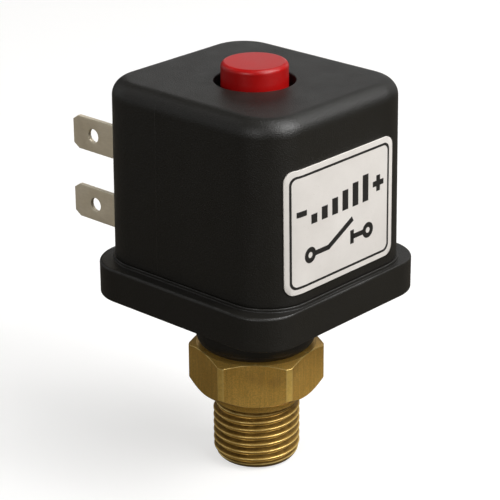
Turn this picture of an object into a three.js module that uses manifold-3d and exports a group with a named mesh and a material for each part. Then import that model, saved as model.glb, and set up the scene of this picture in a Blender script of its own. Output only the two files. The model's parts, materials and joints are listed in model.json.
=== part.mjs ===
// Diaphragm pressure switch: brass threaded fitting, moulded base flange and cover,
// two push-on blade terminals, a red push button on top and the working parts inside.
// Units are millimetres. +Z is the thread axis, from the stem's end face to the button.
// The origin is the centre of the stem's end face.
// The labelled side faces -Y, the blades leave the +Y side.
import * as THREE from 'three';
import { mergeVertices } from 'three/addons/utils/BufferGeometryUtils.js';
import Module from 'manifold-3d';

const wasm = await Module();
wasm.setup();

// ---------------------------------------------------------------- shared dimensions
// Z0 and Z1 are the lower and upper ends of a part; R is a radius, T a thickness.
const STEM_L = 14.25;
const HEX_H = 8.35;
const HEX_Z1 = STEM_L + HEX_H;
const NECK_Z0 = 23.9;

const FLANGE_Z0 = 33.1;
const FLANGE_Z1 = 39.4;
const PLINTH_Z1 = FLANGE_Z1 + 0.6;

// cover: size at the top of its drafted walls, which lean out by DRAFT at the foot
const COVER_W = 38.15;
const COVER_L = 41.7;
const COVER_R = 8.0;
const DRAFT = 0.3;
const TOP_FILLET = 3.05;
const COVER_Z0 = PLINTH_Z1 + 0.05;
const COVER_Z1 = 72.9;

// blade terminals, one above the other in the plane x = BLADE_X; the Zs are mid-heights
const BLADE_X = -12.0;
const BLADE_W = 6.35;
const BLADE_ROOT_T = 0.7;
const UPPER_Z = 58.78;
const LOWER_Z = 45.46;

// places in plan: [x, y]
const BUTTON_AT = [-0.9, -0.8];
const CONTACT_AT = [-9.0, 0];
const COVER_SCREWS = [[-13.4, -15.2], [13.4, -15.2], [13.4, 15.2], [2.5, 16.4]];
const BLOCK_SCREWS = [[-6.8, 13.0], [-12.0, 6.4]];
const BRACKET_SCREW = [13.4, 0];

// ---------------------------------------------------------------- materials
const metal = (color, roughness) => ({ color, roughness, metalness: 1 });
const nonmetal = (color, roughness) => ({ color, roughness, metalness: 0 });
const BLACK = 0x1d1c1a;
const STEEL = 0x9a9c9e;
const FINISH = {
  brass: metal(0xb08a45, 0.35),
  ringBrass: metal(0xb8964e, 0.4),
  tin: metal(0xa79a85, 0.35),
  copper: metal(0xb87f4a, 0.35),
  silver: metal(0xd9d9d6, 0.25),
  padMetal: metal(0xb9bbbd, 0.4),
  smoothSteel: metal(STEEL, 0.3),
  steel: metal(STEEL, 0.35),
  sheetSteel: metal(STEEL, 0.4),
  baseBlack: nonmetal(BLACK, 0.55),
  coverBlack: nonmetal(BLACK, 0.5),
  sealBlack: nonmetal(0x101010, 0.8),
  diaphragmBlack: nonmetal(0x151515, 0.85),
  gasketBlack: nonmetal(0x141414, 0.85),
  brown: nonmetal(0x3a2418, 0.5),
  cream: nonmetal(0xe6dfc8, 0.6),
  white: nonmetal(0xe9e6dd, 0.5),
  red: nonmetal(0xb01010, 0.35),
  wireRed: nonmetal(0x8c1414, 0.5),
  label: nonmetal(0xd9d4cd, 0.5),
};

// ---------------------------------------------------------------- helpers
const group = new THREE.Group();

// keeps the positions only and welds them
function clean(source) {
  const copy = source.clone();
  for (const name of Object.keys(copy.attributes)) {
    if (name !== 'position') copy.deleteAttribute(name);
  }
  return mergeVertices(copy, 1e-5);
}

function solid(shape) {
  if (shape instanceof wasm.Manifold) return shape;
  const welded = clean(shape);
  return new wasm.Manifold(new wasm.Mesh({
    numProp: 3,
    vertProperties: new Float32Array(welded.attributes.position.array),
    triVerts: new Uint32Array(welded.index.array),
  }));
}

function geometry(manifold) {
  const source = manifold.getMesh();
  const result = new THREE.BufferGeometry();
  const positions = new Float32Array(source.vertProperties);
  result.setAttribute('position', new THREE.BufferAttribute(positions, 3));
  result.setIndex(new THREE.BufferAttribute(new Uint32Array(source.triVerts), 1));
  result.computeVertexNormals();
  return result;
}

const union = (...parts) => parts.map(solid).reduce((a, b) => a.add(b));
const cut = (base, ...tools) => tools.map(solid).reduce((a, b) => a.subtract(b), solid(base));

function add(name, finish, shape) {
  const built = shape instanceof wasm.Manifold ? geometry(shape) : shape;
  const mesh = new THREE.Mesh(built, new THREE.MeshStandardMaterial(finish));
  mesh.name = name;
  group.add(mesh);
}

// Turns a profile of [radius, z] about a vertical line through at.
// It starts and ends on the axis; one that starts off the axis is closed into a ring.
function lathe(profile, segments, at = [0, 0]) {
  const points = profile.map(([r, z]) => new THREE.Vector2(r, z));
  if (profile[0][0] > 0) points.push(points[0].clone());
  const turned = clean(
    new THREE.LatheGeometry(points, segments).rotateX(Math.PI / 2).translate(...at, 0));
  const { position } = turned.attributes;
  const corner = (i) => new THREE.Vector3().fromBufferAttribute(position, i);
  const triangles = [];
  let volume = 0;
  for (let i = 0; i < turned.index.count; i += 3) {
    const [a, b, c] = turned.index.array.slice(i, i + 3);
    if (a === b || b === c || a === c) continue;       // collapsed on the axis
    triangles.push([a, b, c]);
    volume += corner(a).dot(corner(b).cross(corner(c)));
  }
  // a profile run the other way gives an inside-out skin
  if (volume < 0) triangles.forEach((triangle) => triangle.reverse());
  turned.setIndex(triangles.flat());
  turned.computeVertexNormals();
  return turned;
}

const rod = (r, z0, z1, segments, at) =>
  lathe([[0, z0], [r, z0], [r, z1], [0, z1]], segments, at);
const rods = (places, r, z0, z1, segments) =>
  places.map((at) => rod(r, z0, z1, segments, at));
const tube = (inner, outer, z0, z1, segments, at) =>
  lathe([[inner, z0], [outer, z0], [outer, z1], [inner, z1]], segments, at);

const span = (centre, half) => [centre - half, centre + half];

function box([x0, x1], [y0, y1], [z0, z1]) {
  return new THREE.BoxGeometry(x1 - x0, y1 - y0, z1 - z0)
    .translate((x0 + x1) / 2, (y0 + y1) / 2, (z0 + z1) / 2);
}

// two crossed slots in plan
const crossSlots = ([x, y], reach, half, zRange) => [
  box(span(x, reach), span(y, half), zRange),
  box(span(x, half), span(y, reach), zRange)];

// rounded rectangle centred on the axis, moved inwards by inset
function outline(width, length, radius, inset = 0) {
  const CORNER_STEPS = 6;
  const r = radius - inset;
  const x = width / 2 - inset - r;
  const y = length / 2 - inset - r;
  const points = [];
  for (const [cx, cy, start] of [[x, y, 0], [-x, y, 90], [-x, -y, 180], [x, -y, 270]]) {
    for (let i = 0; i <= CORNER_STEPS; i++) {
      const angle = THREE.MathUtils.degToRad(start + 90 * i / CORNER_STEPS);
      points.push(new THREE.Vector2(cx + r * Math.cos(angle), cy + r * Math.sin(angle)));
    }
  }
  return points;
}
const coverOutline = (inset) => outline(COVER_W, COVER_L, COVER_R, inset);
// around the foot of the cover, where the draft is full
const footOutline = (inset) =>
  outline(COVER_W + 2 * DRAFT, COVER_L + 2 * DRAFT, COVER_R, inset);

// closed skin through rings of [points, z] with equal point counts, capped at both ends
function loft(rings) {
  const count = rings[0][0].length;
  const last = rings.length - 1;
  const positions = rings.flatMap(([points, z]) => points.flatMap((p) => [p.x, p.y, z]));
  const index = [];
  for (let k = 0; k < last; k++) {
    for (let i = 0; i < count; i++) {
      const a = k * count + i;
      const b = k * count + (i + 1) % count;
      index.push(a, b, b + count, a, b + count, a + count);
    }
  }
  const cap = (ring) => THREE.ShapeUtils.triangulateShape(rings[ring][0], []);
  for (const [a, b, c] of cap(0)) index.push(a, c, b);
  for (const triangle of cap(last)) index.push(...triangle.map((i) => last * count + i));
  const skin = new THREE.BufferGeometry();
  skin.setAttribute('position', new THREE.Float32BufferAttribute(positions, 3));
  skin.setIndex(index);
  return skin;
}
const prism = (points, z0, z1) => loft([[points, z0], [points, z1]]);

function polygon(points) {
  const shape = new THREE.Shape(points.map(([u, v]) => new THREE.Vector2(u, v)));
  shape.closePath();
  return shape;
}

function regularPolygon(sides, radius, startAngle = 0) {
  return polygon(Array.from({ length: sides }, (_, i) => {
    const angle = startAngle + 2 * Math.PI * i / sides;
    return [radius * Math.cos(angle), radius * Math.sin(angle)];
  }));
}

// round wire swept along a curve
function wire(curve, radius, steps, sides) {
  return clean(new THREE.ExtrudeGeometry(regularPolygon(sides, radius),
    { steps, bevelEnabled: false, extrudePath: curve }));
}

// helix with flatter turns at both ends and an even pitch between
class Coil extends THREE.Curve {
  constructor(options) {
    super();
    Object.assign(this, options);
  }

  getPoint(t, target = new THREE.Vector3()) {
    const END_TURNS = 0.8;
    const END_RISE = 0.35;      // rise in an end turn, as a share of the mean rise
    const { at: [x, y], r, z0, z1, turns } = this;
    const end = END_TURNS / turns;
    const middleRise = (1 - 2 * END_RISE * end) / (1 - 2 * end);
    let rise = end * END_RISE + (t - end) * middleRise;
    if (t < end) rise = t * END_RISE;
    else if (t > 1 - end) rise = 1 - (1 - t) * END_RISE;
    const angle = 2 * Math.PI * turns * t;
    return target.set(
      x + r * Math.cos(angle), y + r * Math.sin(angle), z0 + (z1 - z0) * rise);
  }
}

// coil spring filling z0 to z1, its wire centre kept endInset away from both
function spring({ at, r, z0, z1, turns, wireR, endInset, steps, sides }) {
  const coil = new Coil({ at, r, z0: z0 + endInset, z1: z1 - endInset, turns });
  return wire(coil, wireR, steps, sides);
}

// cross-slotted screw; its head sits on seatZ and its shank runs the other way to tipZ
function screw(at, { seatZ, headR, headH, shankR, tipZ, slotDepth = 0.7 }) {
  const out = tipZ > seatZ ? -1 : 1;                   // direction the head faces
  const top = seatZ + out * headH;
  const head = lathe([[0, seatZ], [headR, seatZ], [headR, seatZ + out * headH * 0.75],
    [headR * 0.8, top], [0, top]], 12, at);
  const shank = rod(shankR, seatZ + out * 0.2, tipZ, 8, at);
  const slotZ = [top - out * slotDepth, top + out].sort((a, b) => a - b);
  return cut(union(head, shank), ...crossSlots(at, headR * 0.62, 0.25, slotZ));
}

// ---------------------------------------------------------------- brass fitting
// M16 x 1.5 stem, hexagon 22 across flats, round spigot above it
function threadedStem() {
  const THREAD_R = 8.0;
  const ROOT_R = 7.1;
  const PITCH = 1.5;
  const RIDGES = 5;
  const TIP_H = 2.05;
  const UNDERCUT_R = ROOT_R + 0.1;
  const COLLAR_R = 7.85;
  const COLLAR_Z0 = 11.5;
  const SPIGOT_R = 8.4;
  const profile = [[0, 0], [6.95, 0], [7.75, 1.2], [THREAD_R, TIP_H]];
  for (let i = 0; i < RIDGES; i++) {
    const z = TIP_H + i * PITCH;
    profile.push([ROOT_R, z + PITCH / 2], [THREAD_R, z + PITCH]);
  }
  profile.push(
    [UNDERCUT_R, TIP_H + RIDGES * PITCH + 0.6], [UNDERCUT_R, COLLAR_Z0 - 0.2],
    [COLLAR_R - 0.1, COLLAR_Z0], [COLLAR_R, COLLAR_Z0 + 0.1], [COLLAR_R, STEM_L + 1],
    [SPIGOT_R, STEM_L + 1], [SPIGOT_R, 27.9], [0, 27.9]);
  return lathe(profile, 28);
}

function hexagon() {
  const FLAT_R = 22.0 / 2;
  const CORNER_R = 12.4;                               // corners are turned down to this
  const TURN = THREE.MathUtils.degToRad(40.91 + 30);   // first corner, from +X
  const LOWER_CHAMFER = 1.16;
  const UPPER_CHAMFER = (CORNER_R - FLAT_R) * Math.tan(Math.PI / 6);
  const sides = new THREE.ExtrudeGeometry(
    regularPolygon(6, FLAT_R / Math.cos(Math.PI / 6), TURN),
    { depth: HEX_H, bevelEnabled: false }).translate(0, 0, STEM_L);
  const turned = lathe([[0, STEM_L], [FLAT_R, STEM_L], [CORNER_R, STEM_L + LOWER_CHAMFER],
    [CORNER_R, HEX_Z1 - UPPER_CHAMFER], [FLAT_R, HEX_Z1], [0, HEX_Z1]], 36);
  return solid(sides).intersect(solid(turned));
}

// orifice at the stem's end, then the port, then the chamber open at the top
const bore = lathe([[0, -1], [0.4, -1], [0.4, 2], [2.2, 3], [2.2, 24.6], [5.6, 26.2],
  [5.6, 28.9], [0, 28.9]], 16);
add('brass_fitting', FINISH.brass, cut(union(threadedStem(), hexagon()), bore));

add('neck_seal', FINISH.sealBlack, lathe([
  [8.6, HEX_Z1 + 0.05], [9.3, HEX_Z1 + 0.05], [10.0, HEX_Z1 + 0.3], [10.5, HEX_Z1 + 0.75],
  [10.75, NECK_Z0 - 0.05], [8.6, NECK_Z0 - 0.05]], 32));

// ---------------------------------------------------------------- base flange
function baseFlange() {
  const EDGE = 0.35;                                   // edge chamfer
  const PLINTH_OUT = 0.3;                              // plinth beyond the cover's foot
  const NECK_R = 11.1;
  const SHOULDER_Z = 28.75;
  const TOWER_Z1 = 46.6;
  const full = outline(43.7, 44.4, 7.5);
  const chamfered = outline(43.7, 44.4, 7.5, EDGE);
  const plate = loft([[chamfered, FLANGE_Z0], [full, FLANGE_Z0 + EDGE],
    [full, FLANGE_Z1 - EDGE], [chamfered, FLANGE_Z1]]);
  const plinth = prism(footOutline(-PLINTH_OUT), FLANGE_Z1 - 1, PLINTH_Z1);
  const rib = cut(
    prism(coverOutline(2.35), PLINTH_Z1 - 1, PLINTH_Z1 + 0.95),
    prism(coverOutline(3.95), PLINTH_Z1 - 2, PLINTH_Z1 + 2),
    box([-40, 40], [-40, 40], [PLINTH_Z1 - 3, PLINTH_Z1 - 0.5]));
  const neck = lathe([[0, NECK_Z0], [NECK_R - 0.3, NECK_Z0], [NECK_R - 0.08, NECK_Z0 + 0.75],
    [NECK_R, NECK_Z0 + 1.6], [NECK_R, FLANGE_Z0 + 1], [0, FLANGE_Z0 + 1]], 32);
  const tower = rod(9.2, FLANGE_Z0 + 1, TOWER_Z1, 28);
  // raised pads under the terminal block and the pivot bracket
  const pads = [
    box([-14.2, -4.9], [9.0, 16.4], [PLINTH_Z1 - 1, PLINTH_Z1 + 1.15]),
    box([-14.2, -9.9], [4.5, 9.5], [PLINTH_Z1 - 1, PLINTH_Z1 + 1.15]),
    box([9.5, 15.2], [-4.0, 6.8], [PLINTH_Z1 - 1, PLINTH_Z1 + 1.1])];
  return cut(union(plate, plinth, rib, neck, tower, ...pads),
    rod(8.55, NECK_Z0 - 1, SHOULDER_Z, 32),
    rod(6.9, SHOULDER_Z - 1, TOWER_Z1 + 1, 32),
    box([-13, -5.8], [-3.4, 3.4], [45.3, 48]),         // notch under the fixed contact
    ...rods(COVER_SCREWS, 2.7, FLANGE_Z0 - 1, FLANGE_Z0 + 2.3, 12),
    ...rods(COVER_SCREWS, 1.4, FLANGE_Z0, PLINTH_Z1 + 2, 10),
    ...rods([...BLOCK_SCREWS, BRACKET_SCREW], 1.12, 36.2, 42, 8));
}
add('base_flange', FINISH.baseBlack, baseFlange());

// ---------------------------------------------------------------- capsule and range spring
add('diaphragm', FINISH.diaphragmBlack, rod(8.35, 27.95, 28.7, 24));
add('piston_pad', FINISH.padMetal, lathe([[0, 28.85], [6.1, 28.85], [6.4, 29.15], [6.4, 31.2],
  [3.9, 31.2], [3.9, 33.0], [2.05, 33.0], [2.05, 30.0], [0, 30.0]], 24));
add('push_rod', FINISH.cream,
  lathe([[0, 30.05], [1.98, 30.05], [1.98, 48.6], [0.6, 49.45], [0, 49.45]], 16));
add('range_spring', FINISH.steel, spring({ at: [0, 0], r: 5.15, z0: 31.25, z1: 41.4,
  turns: 4.5, wireR: 0.6, endInset: 0.62, steps: 48, sides: 6 }));
add('range_seat', FINISH.sheetSteel, tube(2.4, 6.6, 41.45, 42.5, 24));
add('adjusting_ring', FINISH.ringBrass,
  cut(tube(2.6, 6.8, 42.55, 45.3, 32), ...crossSlots([0, 0], 8, 0.8, [44.2, 47])));

// ---------------------------------------------------------------- terminal block and blades
function terminalBlock() {
  const GAP = 0.1;                                     // clearance around the blades
  const body = union(
    box([-14.4, -9.0], [8.6, 17.2], [41.2, 64.4]),
    box([-9.5, -5.0], [10.6, 15.4], [41.2, 43.4]),     // foot on the +X side
    box([-14.1, -10.0], [4.6, 9.0], [41.2, 43.4]),     // foot on the -Y side
    // L-shaped arm over the contact spring
    box([-10.5, -3.4], [6.5, 10.5], [55.0, 57.0]),
    box([-7.4, -3.4], [-2.2, 7.0], [55.0, 57.0]));
  const slots = [UPPER_Z, LOWER_Z].map((z) =>
    box(span(BLADE_X, BLADE_ROOT_T / 2 + GAP), [0, 30], span(z, BLADE_W / 2 + GAP)));
  return cut(body, ...slots, ...rods(BLOCK_SCREWS, 1.15, 40, 50, 12));
}
add('terminal_block', FINISH.brown, terminalBlock());

BLOCK_SCREWS.forEach((at, i) => add(`terminal_block_screw_${i + 1}`, FINISH.steel,
  screw(at, { seatZ: 43.45, headR: 1.8, headH: 1.3, shankR: 1.0, tipZ: 36.6 })));

// flat plate standing in the plane x = BLADE_X, from its outline in (y, z)
function standing(points, thickness, hole) {
  const shape = polygon(points);
  if (hole) shape.holes.push(hole);
  return new THREE.ExtrudeGeometry(shape,
    { depth: thickness, bevelEnabled: false, curveSegments: 8 })
    .rotateX(Math.PI / 2)
    .rotateZ(Math.PI / 2)
    .translate(BLADE_X - thickness / 2, 0, 0);
}

// push-on tab with chamfered tip corners, joined to a slightly thinner root
const TAB_Y0 = 21.5;
const ROOT_Y1 = TAB_Y0 + 0.5;
function blade(midZ, tipY, root) {
  const [z0, z1] = span(midZ, BLADE_W / 2);
  const CHAMFER_Y = 1.35;
  const CHAMFER_Z = 0.9;
  const hole = new THREE.Path();
  hole.absarc(28.35, midZ, 1.3, 0, 2 * Math.PI, true);
  const tab = [[TAB_Y0, z0], [tipY - CHAMFER_Y, z0], [tipY, z0 + CHAMFER_Z],
    [tipY, z1 - CHAMFER_Z], [tipY - CHAMFER_Y, z1], [TAB_Y0, z1]];
  return union(standing(tab, 0.8, hole), standing(root, BLADE_ROOT_T));
}

function upperBlade() {
  const ROOT_Y0 = 6.6;
  const [z0, z1] = span(UPPER_Z, BLADE_W / 2);
  return blade(UPPER_Z, 33.5, [[ROOT_Y0, z0], [ROOT_Y1, z0], [ROOT_Y1, z1], [ROOT_Y0, z1]]);
}
add('terminal_blade_upper', FINISH.tin, upperBlade());

// its root carries a shelf that holds the fixed contact
function lowerBlade() {
  const STEP_Y = 8.8;
  const SHELF_Y = 3.0;
  const SHELF_Z0 = 46.4;
  const [z0, z1] = span(LOWER_Z, BLADE_W / 2);
  const standingPart = blade(LOWER_Z, 33.8, [[STEP_Y, z0], [ROOT_Y1, z0], [ROOT_Y1, z1],
    [-SHELF_Y, z1], [-SHELF_Y, SHELF_Z0], [STEP_Y, SHELF_Z0]]);
  const shelf = box([BLADE_X - BLADE_ROOT_T / 2, -6.4], span(0, SHELF_Y), [SHELF_Z0, 47.2]);
  return cut(union(standingPart, shelf), rod(0.9, 45, 48.2, 12, CONTACT_AT));
}
add('terminal_blade_lower', FINISH.tin, lowerBlade());

add('fixed_contact', FINISH.silver, lathe([[0, 45.75], [1.25, 45.75], [1.25, 46.35],
  [0.8, 46.35], [0.8, 47.25], [1.6, 47.25], [1.6, 47.8], [1.2, 48.3], [0, 48.35]],
16, CONTACT_AT));

// ---------------------------------------------------------------- contact lever and pivot
const PIVOT_X = 10.9;
const PIVOT_Z = 50.0;
// lays a part turned about Z along the pivot axis, its +Z end towards -Y
const onPivot = (part) => part.rotateX(Math.PI / 2).translate(PIVOT_X, 0, PIVOT_Z);
const pivotHole = () => onPivot(rod(0.9, -6, 6, 12));

function contactArm() {
  const ARM_Z0 = 49.65;
  const plate = box([-11.2, PIVOT_X - 0.6], [-2.4, 2.4], [ARM_Z0, ARM_Z0 + 0.7]);
  const barrel = onPivot(rod(1.7, -2.4, 2.4, 16));
  return cut(union(plate, barrel), pivotHole(), rod(0.85, 49, 51, 12, CONTACT_AT));
}
add('contact_arm', FINISH.copper, contactArm());

add('moving_contact', FINISH.silver, lathe([[0, 48.45], [1.2, 48.5], [1.6, 49.0],
  [1.6, 49.6], [0.78, 49.6], [0.78, 50.4], [1.2, 50.4], [1.2, 50.9], [0, 50.9]],
16, CONTACT_AT));
add('contact_spring', FINISH.steel, spring({ at: [-5.4, 0], r: 1.5, z0: 50.4, z1: 54.95,
  turns: 5, wireR: 0.2, endInset: 0.22, steps: 50, sides: 5 }));

function pivotBracket() {
  const BASE_Z = [41.15, 41.95];
  const CHEEK_Z = [41.15, 51.9];
  const body = union(
    box([9.5, 15.1], [-3.9, 3.9], BASE_Z),
    box([12.6, 15.1], [3.0, 6.6], BASE_Z),             // tab under the link wire
    box([9.5, 12.4], [3.1, 3.9], CHEEK_Z),
    box([9.5, 12.4], [-3.9, -3.1], CHEEK_Z));
  return cut(body, pivotHole(), rod(1.15, 40, 43, 12, BRACKET_SCREW));
}
add('pivot_bracket', FINISH.sheetSteel, pivotBracket());
add('pivot_pin', FINISH.smoothSteel, onPivot(
  lathe([[0, -4.3], [0.8, -4.3], [0.8, 4.0], [1.3, 4.0], [1.3, 4.5], [0, 4.5]], 12)));
add('bracket_screw', FINISH.steel,
  screw(BRACKET_SCREW, { seatZ: 42.0, headR: 1.6, headH: 1.2, shankR: 1.0, tipZ: 36.6 }));

// wire from the upper blade to the bracket tab: [x, y, z]
const LINK_PATH = [
  [-10.8, 7.5, 59.2], [-8.0, 8.3, 59.6], [-6.0, 10.8, 60.2], [-1.0, 12.2, 59.6],
  [5.0, 11.8, 57.0], [10.0, 9.6, 51.0], [13.2, 6.6, 46.0], [13.9, 5.3, 43.4],
  [13.9, 5.2, 42.1],
];
const linkCurve = new THREE.CatmullRomCurve3(LINK_PATH.map((p) => new THREE.Vector3(...p)));
add('link_wire', FINISH.wireRed, wire(linkCurve, 0.6, 24, 6));

// ---------------------------------------------------------------- cover
// outer skin of the cover from z0 to z1, grown outwards by extra
function coverSkin(extra, z0, z1) {
  const FILLET_STEPS = 5;
  const filletZ = COVER_Z1 - TOP_FILLET;
  const rings = [z0, Math.min(z1, filletZ)].map((z) => {
    const lean = DRAFT * (1 - (z - PLINTH_Z1) / (filletZ - PLINTH_Z1));
    return [outline(COVER_W + 2 * lean, COVER_L + 2 * lean, COVER_R, -extra), z];
  });
  if (z1 > filletZ) {
    for (let i = 1; i <= FILLET_STEPS; i++) {
      const angle = Math.PI / 2 * i / FILLET_STEPS;
      const inset = TOP_FILLET * (1 - Math.cos(angle)) - extra;
      rings.push([coverOutline(inset), filletZ + TOP_FILLET * Math.sin(angle)]);
    }
  }
  return loft(rings);
}

function cover() {
  const WALL = 2.2;
  const CEILING_Z = COVER_Z1 - 2.6;
  const shell = cut(coverSkin(0, COVER_Z0, COVER_Z1),
    prism(coverOutline(WALL), COVER_Z0 - 2, CEILING_Z));
  // screw posts, kept inside the walls
  const limit = solid(prism(coverOutline(1), COVER_Z0, CEILING_Z));
  const posts = rods(COVER_SCREWS, 2.7, 41.2, 52, 12).map((post) =>
    solid(post).intersect(limit));
  const slots = [UPPER_Z, LOWER_Z].map((z) =>
    box(span(BLADE_X, 0.55), [17, 24], span(z, BLADE_W / 2 + 0.2)));
  return cut(union(shell, ...posts),
    prism(coverOutline(1.3), COVER_Z0 - 2, COVER_Z0 + 1.0),  // rebate for the gasket
    rod(7.18, CEILING_Z - 1, COVER_Z1 + 1, 32, BUTTON_AT),
    ...slots,
    ...rods(COVER_SCREWS, 1.32, 40, 50.5, 8));
}
add('cover', FINISH.coverBlack, cover());
add('cover_gasket', FINISH.gasketBlack, cut(
  prism(coverOutline(1.4), PLINTH_Z1 + 0.04, PLINTH_Z1 + 0.95),
  prism(coverOutline(2.2), 39, 43)));

// driven upwards from the underside of the flange
COVER_SCREWS.forEach((at, i) => add(`cover_screw_${i + 1}`, FINISH.steel, screw(at, {
  seatZ: FLANGE_Z0 + 2.25, headR: 2.2, headH: 1.9, shankR: 1.2, tipZ: 49.5, slotDepth: 0.099,
})));

// ---------------------------------------------------------------- push button
add('button_guide', FINISH.baseBlack, lathe([[2.15, 61.0], [7.6, 61.0], [7.6, 69.0],
  [9.2, 69.0], [9.2, 70.25], [6.05, 70.25], [6.05, 62.2], [2.15, 62.2]], 32, BUTTON_AT));

// hollow cap with a central socket for the stem
function buttonCap() {
  const CAP_R = 5.93;
  const CAP_Z0 = 65.6;
  const CAP_Z1 = 76.2;
  return lathe([[0, CAP_Z1], [CAP_R - 0.75, CAP_Z1], [CAP_R - 0.22, CAP_Z1 - 0.22],
    [CAP_R, CAP_Z1 - 0.75], [CAP_R, CAP_Z0], [4.9, CAP_Z0], [4.9, 74.0], [3.4, 74.0],
    [3.4, 68.5], [2.1, 68.5], [2.1, 73.5], [0, 73.5]], 32, BUTTON_AT);
}
add('button_cap', FINISH.red, buttonCap());

// the groove near z = 60 takes the clip
add('button_stem', FINISH.white, lathe([[0, 54.7], [1.4, 54.7], [2, 55.3], [2, 60.0],
  [1.45, 60.0], [1.45, 60.7], [2, 60.7], [2, 73.4], [0, 73.4]], 16, BUTTON_AT));

function buttonClip() {
  const [x, y] = BUTTON_AT;
  const opening = box([x + 0.5, x + 5], span(y, 1.0), [59, 62]);
  return cut(tube(1.58, 3.4, 60.08, 60.62, 20, BUTTON_AT), opening);
}
add('button_clip', FINISH.smoothSteel, buttonClip());
add('button_spring', FINISH.steel, spring({ at: BUTTON_AT, r: 4.2, z0: 62.25, z1: 73.95,
  turns: 5.5, wireR: 0.38, endInset: 0.42, steps: 60, sides: 5 }));

// ---------------------------------------------------------------- label
// rounded rectangle cut from a thin shell that follows the cover's -Y wall
function labelPlate() {
  const GAP = 0.05;
  const THICKNESS = 0.22;
  const R = 1.9;
  const [x0, x1] = [-15.2 + R, 12.1 - R];              // corner centres
  const [z0, z1] = [41.95 + R, 64.15 - R];
  const shell = cut(coverSkin(GAP + THICKNESS, 41, 66), coverSkin(GAP, 40.5, 66.5));
  const shape = new THREE.Shape();
  [[x1, z0], [x1, z1], [x0, z1], [x0, z0]].forEach(([x, z], i) => {
    shape.absarc(x, z, R, (i - 1) * Math.PI / 2, i * Math.PI / 2, false);
  });
  // rotated so that it runs from y = 0 towards -Y
  const block = new THREE.ExtrudeGeometry(shape,
    { depth: 30, bevelEnabled: false, curveSegments: 5 }).rotateX(Math.PI / 2);
  return solid(block).intersect(shell);
}
add('label_plate', FINISH.label, labelPlate());

export default group;
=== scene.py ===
"""Pressure switch: brass fitting, black base flange and cover, red push button, two blade terminals.

It stands upright on +Z, its thread's foot at z = 0 and its main axis at x = y = 0. The label is on
the cover's -Y side, the terminals stick out towards +Y, and the camera looks from -X and -Y.
Shapes are given in millimetres and turned into metres when a mesh is built.
"""
import json
from math import acos, asin, atan2, ceil, copysign, cos, exp, log, pi, radians, sin, sqrt, tan

import bmesh
import bpy
import numpy as np
from mathutils import Matrix, Vector

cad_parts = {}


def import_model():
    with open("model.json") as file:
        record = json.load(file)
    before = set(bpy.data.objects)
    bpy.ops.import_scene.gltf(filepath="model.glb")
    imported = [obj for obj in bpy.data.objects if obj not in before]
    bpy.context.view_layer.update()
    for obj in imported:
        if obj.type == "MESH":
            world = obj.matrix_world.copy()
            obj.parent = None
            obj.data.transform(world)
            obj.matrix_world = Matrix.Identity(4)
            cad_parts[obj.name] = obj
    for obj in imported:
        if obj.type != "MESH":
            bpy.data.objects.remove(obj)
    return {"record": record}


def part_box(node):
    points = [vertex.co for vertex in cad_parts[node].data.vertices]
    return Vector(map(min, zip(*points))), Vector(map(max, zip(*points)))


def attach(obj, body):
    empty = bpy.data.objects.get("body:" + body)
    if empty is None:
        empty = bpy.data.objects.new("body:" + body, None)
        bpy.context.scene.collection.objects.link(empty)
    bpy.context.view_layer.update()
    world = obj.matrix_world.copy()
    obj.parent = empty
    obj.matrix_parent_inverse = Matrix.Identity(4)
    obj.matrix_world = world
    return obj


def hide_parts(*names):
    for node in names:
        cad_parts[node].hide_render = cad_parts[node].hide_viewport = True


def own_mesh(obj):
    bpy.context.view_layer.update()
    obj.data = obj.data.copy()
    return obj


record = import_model()["record"]
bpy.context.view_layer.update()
BODY_OF = {node: body for body, nodes in record["behaviour"]["bodies"].items() for node in nodes}
SLOT_OF = {part["node"]: part["material_slot"] for part in record["subparts"]}
MM = 0.001
WELD = 2e-7                              # metres
norm = np.linalg.norm


def mmbox(node):
    """Lowest and highest corner of a CAD node, in millimetres."""
    low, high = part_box(node)
    return np.array(low) / MM, np.array(high) / MM


def centre_of(node):
    low, high = mmbox(node)
    return ((low + high) / 2)[:2]


# ================================================================ outlines and paths
def rounded(rows, seg=4, closed=False):
    """Rounds the corners of a polyline in a plane or in space.

    A row is a point's coordinates, then the radius of its corner. A corner gives seg + 1 points,
    or one when its radius is 0.
    """
    points = [np.array(row[:-1], float) for row in rows]
    count, out = len(rows), []
    for i, point in enumerate(points):
        radius = rows[i][-1]
        if not radius or (not closed and i in (0, count - 1)):
            out.append(point)
            continue
        back, ahead = points[i - 1] - point, points[(i + 1) % count] - point
        back_length, ahead_length = norm(back), norm(ahead)
        if min(back_length, ahead_length) < 1e-9:
            out.extend([point] * (seg + 1))
            continue
        back, ahead = back / back_length, ahead / ahead_length
        half = acos(max(-1, min(1, float(back @ ahead)))) / 2
        if half > pi / 2 - 1e-3 or half < 1e-3:
            out.extend([point] * (seg + 1))
            continue
        trim = min(radius / tan(half), 0.48 * back_length, 0.48 * ahead_length)
        middle = (back + ahead) / norm(back + ahead)
        centre = point + middle * (trim * tan(half) / sin(half))
        start, end = point + back * trim - centre, point + ahead * trim - centre
        angle = pi - 2 * half
        for k in range(seg + 1):
            part = k / seg
            arc = sin((1 - part) * angle) * start + sin(part * angle) * end
            out.append(centre + arc / sin(angle))
    return np.array(out)


def quarter(steps):
    """Steps round a unit quarter circle, as (1 - sin, 1 - cos): from (1, 0) to (0, 1)."""
    turns = [radians(90 * i / steps) for i in range(steps + 1)]
    return [(1 - sin(turn), 1 - cos(turn)) for turn in turns]


def angles(n):
    return np.arange(n) * 2 * pi / n


def lift(outline, z):
    return np.c_[outline, np.full(len(outline), z)]


def circle(radius, n, x=0.0, y=0.0, z=0.0):
    turn = angles(n)
    return lift(np.c_[x + radius * np.cos(turn), y + radius * np.sin(turn)], z)


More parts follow.
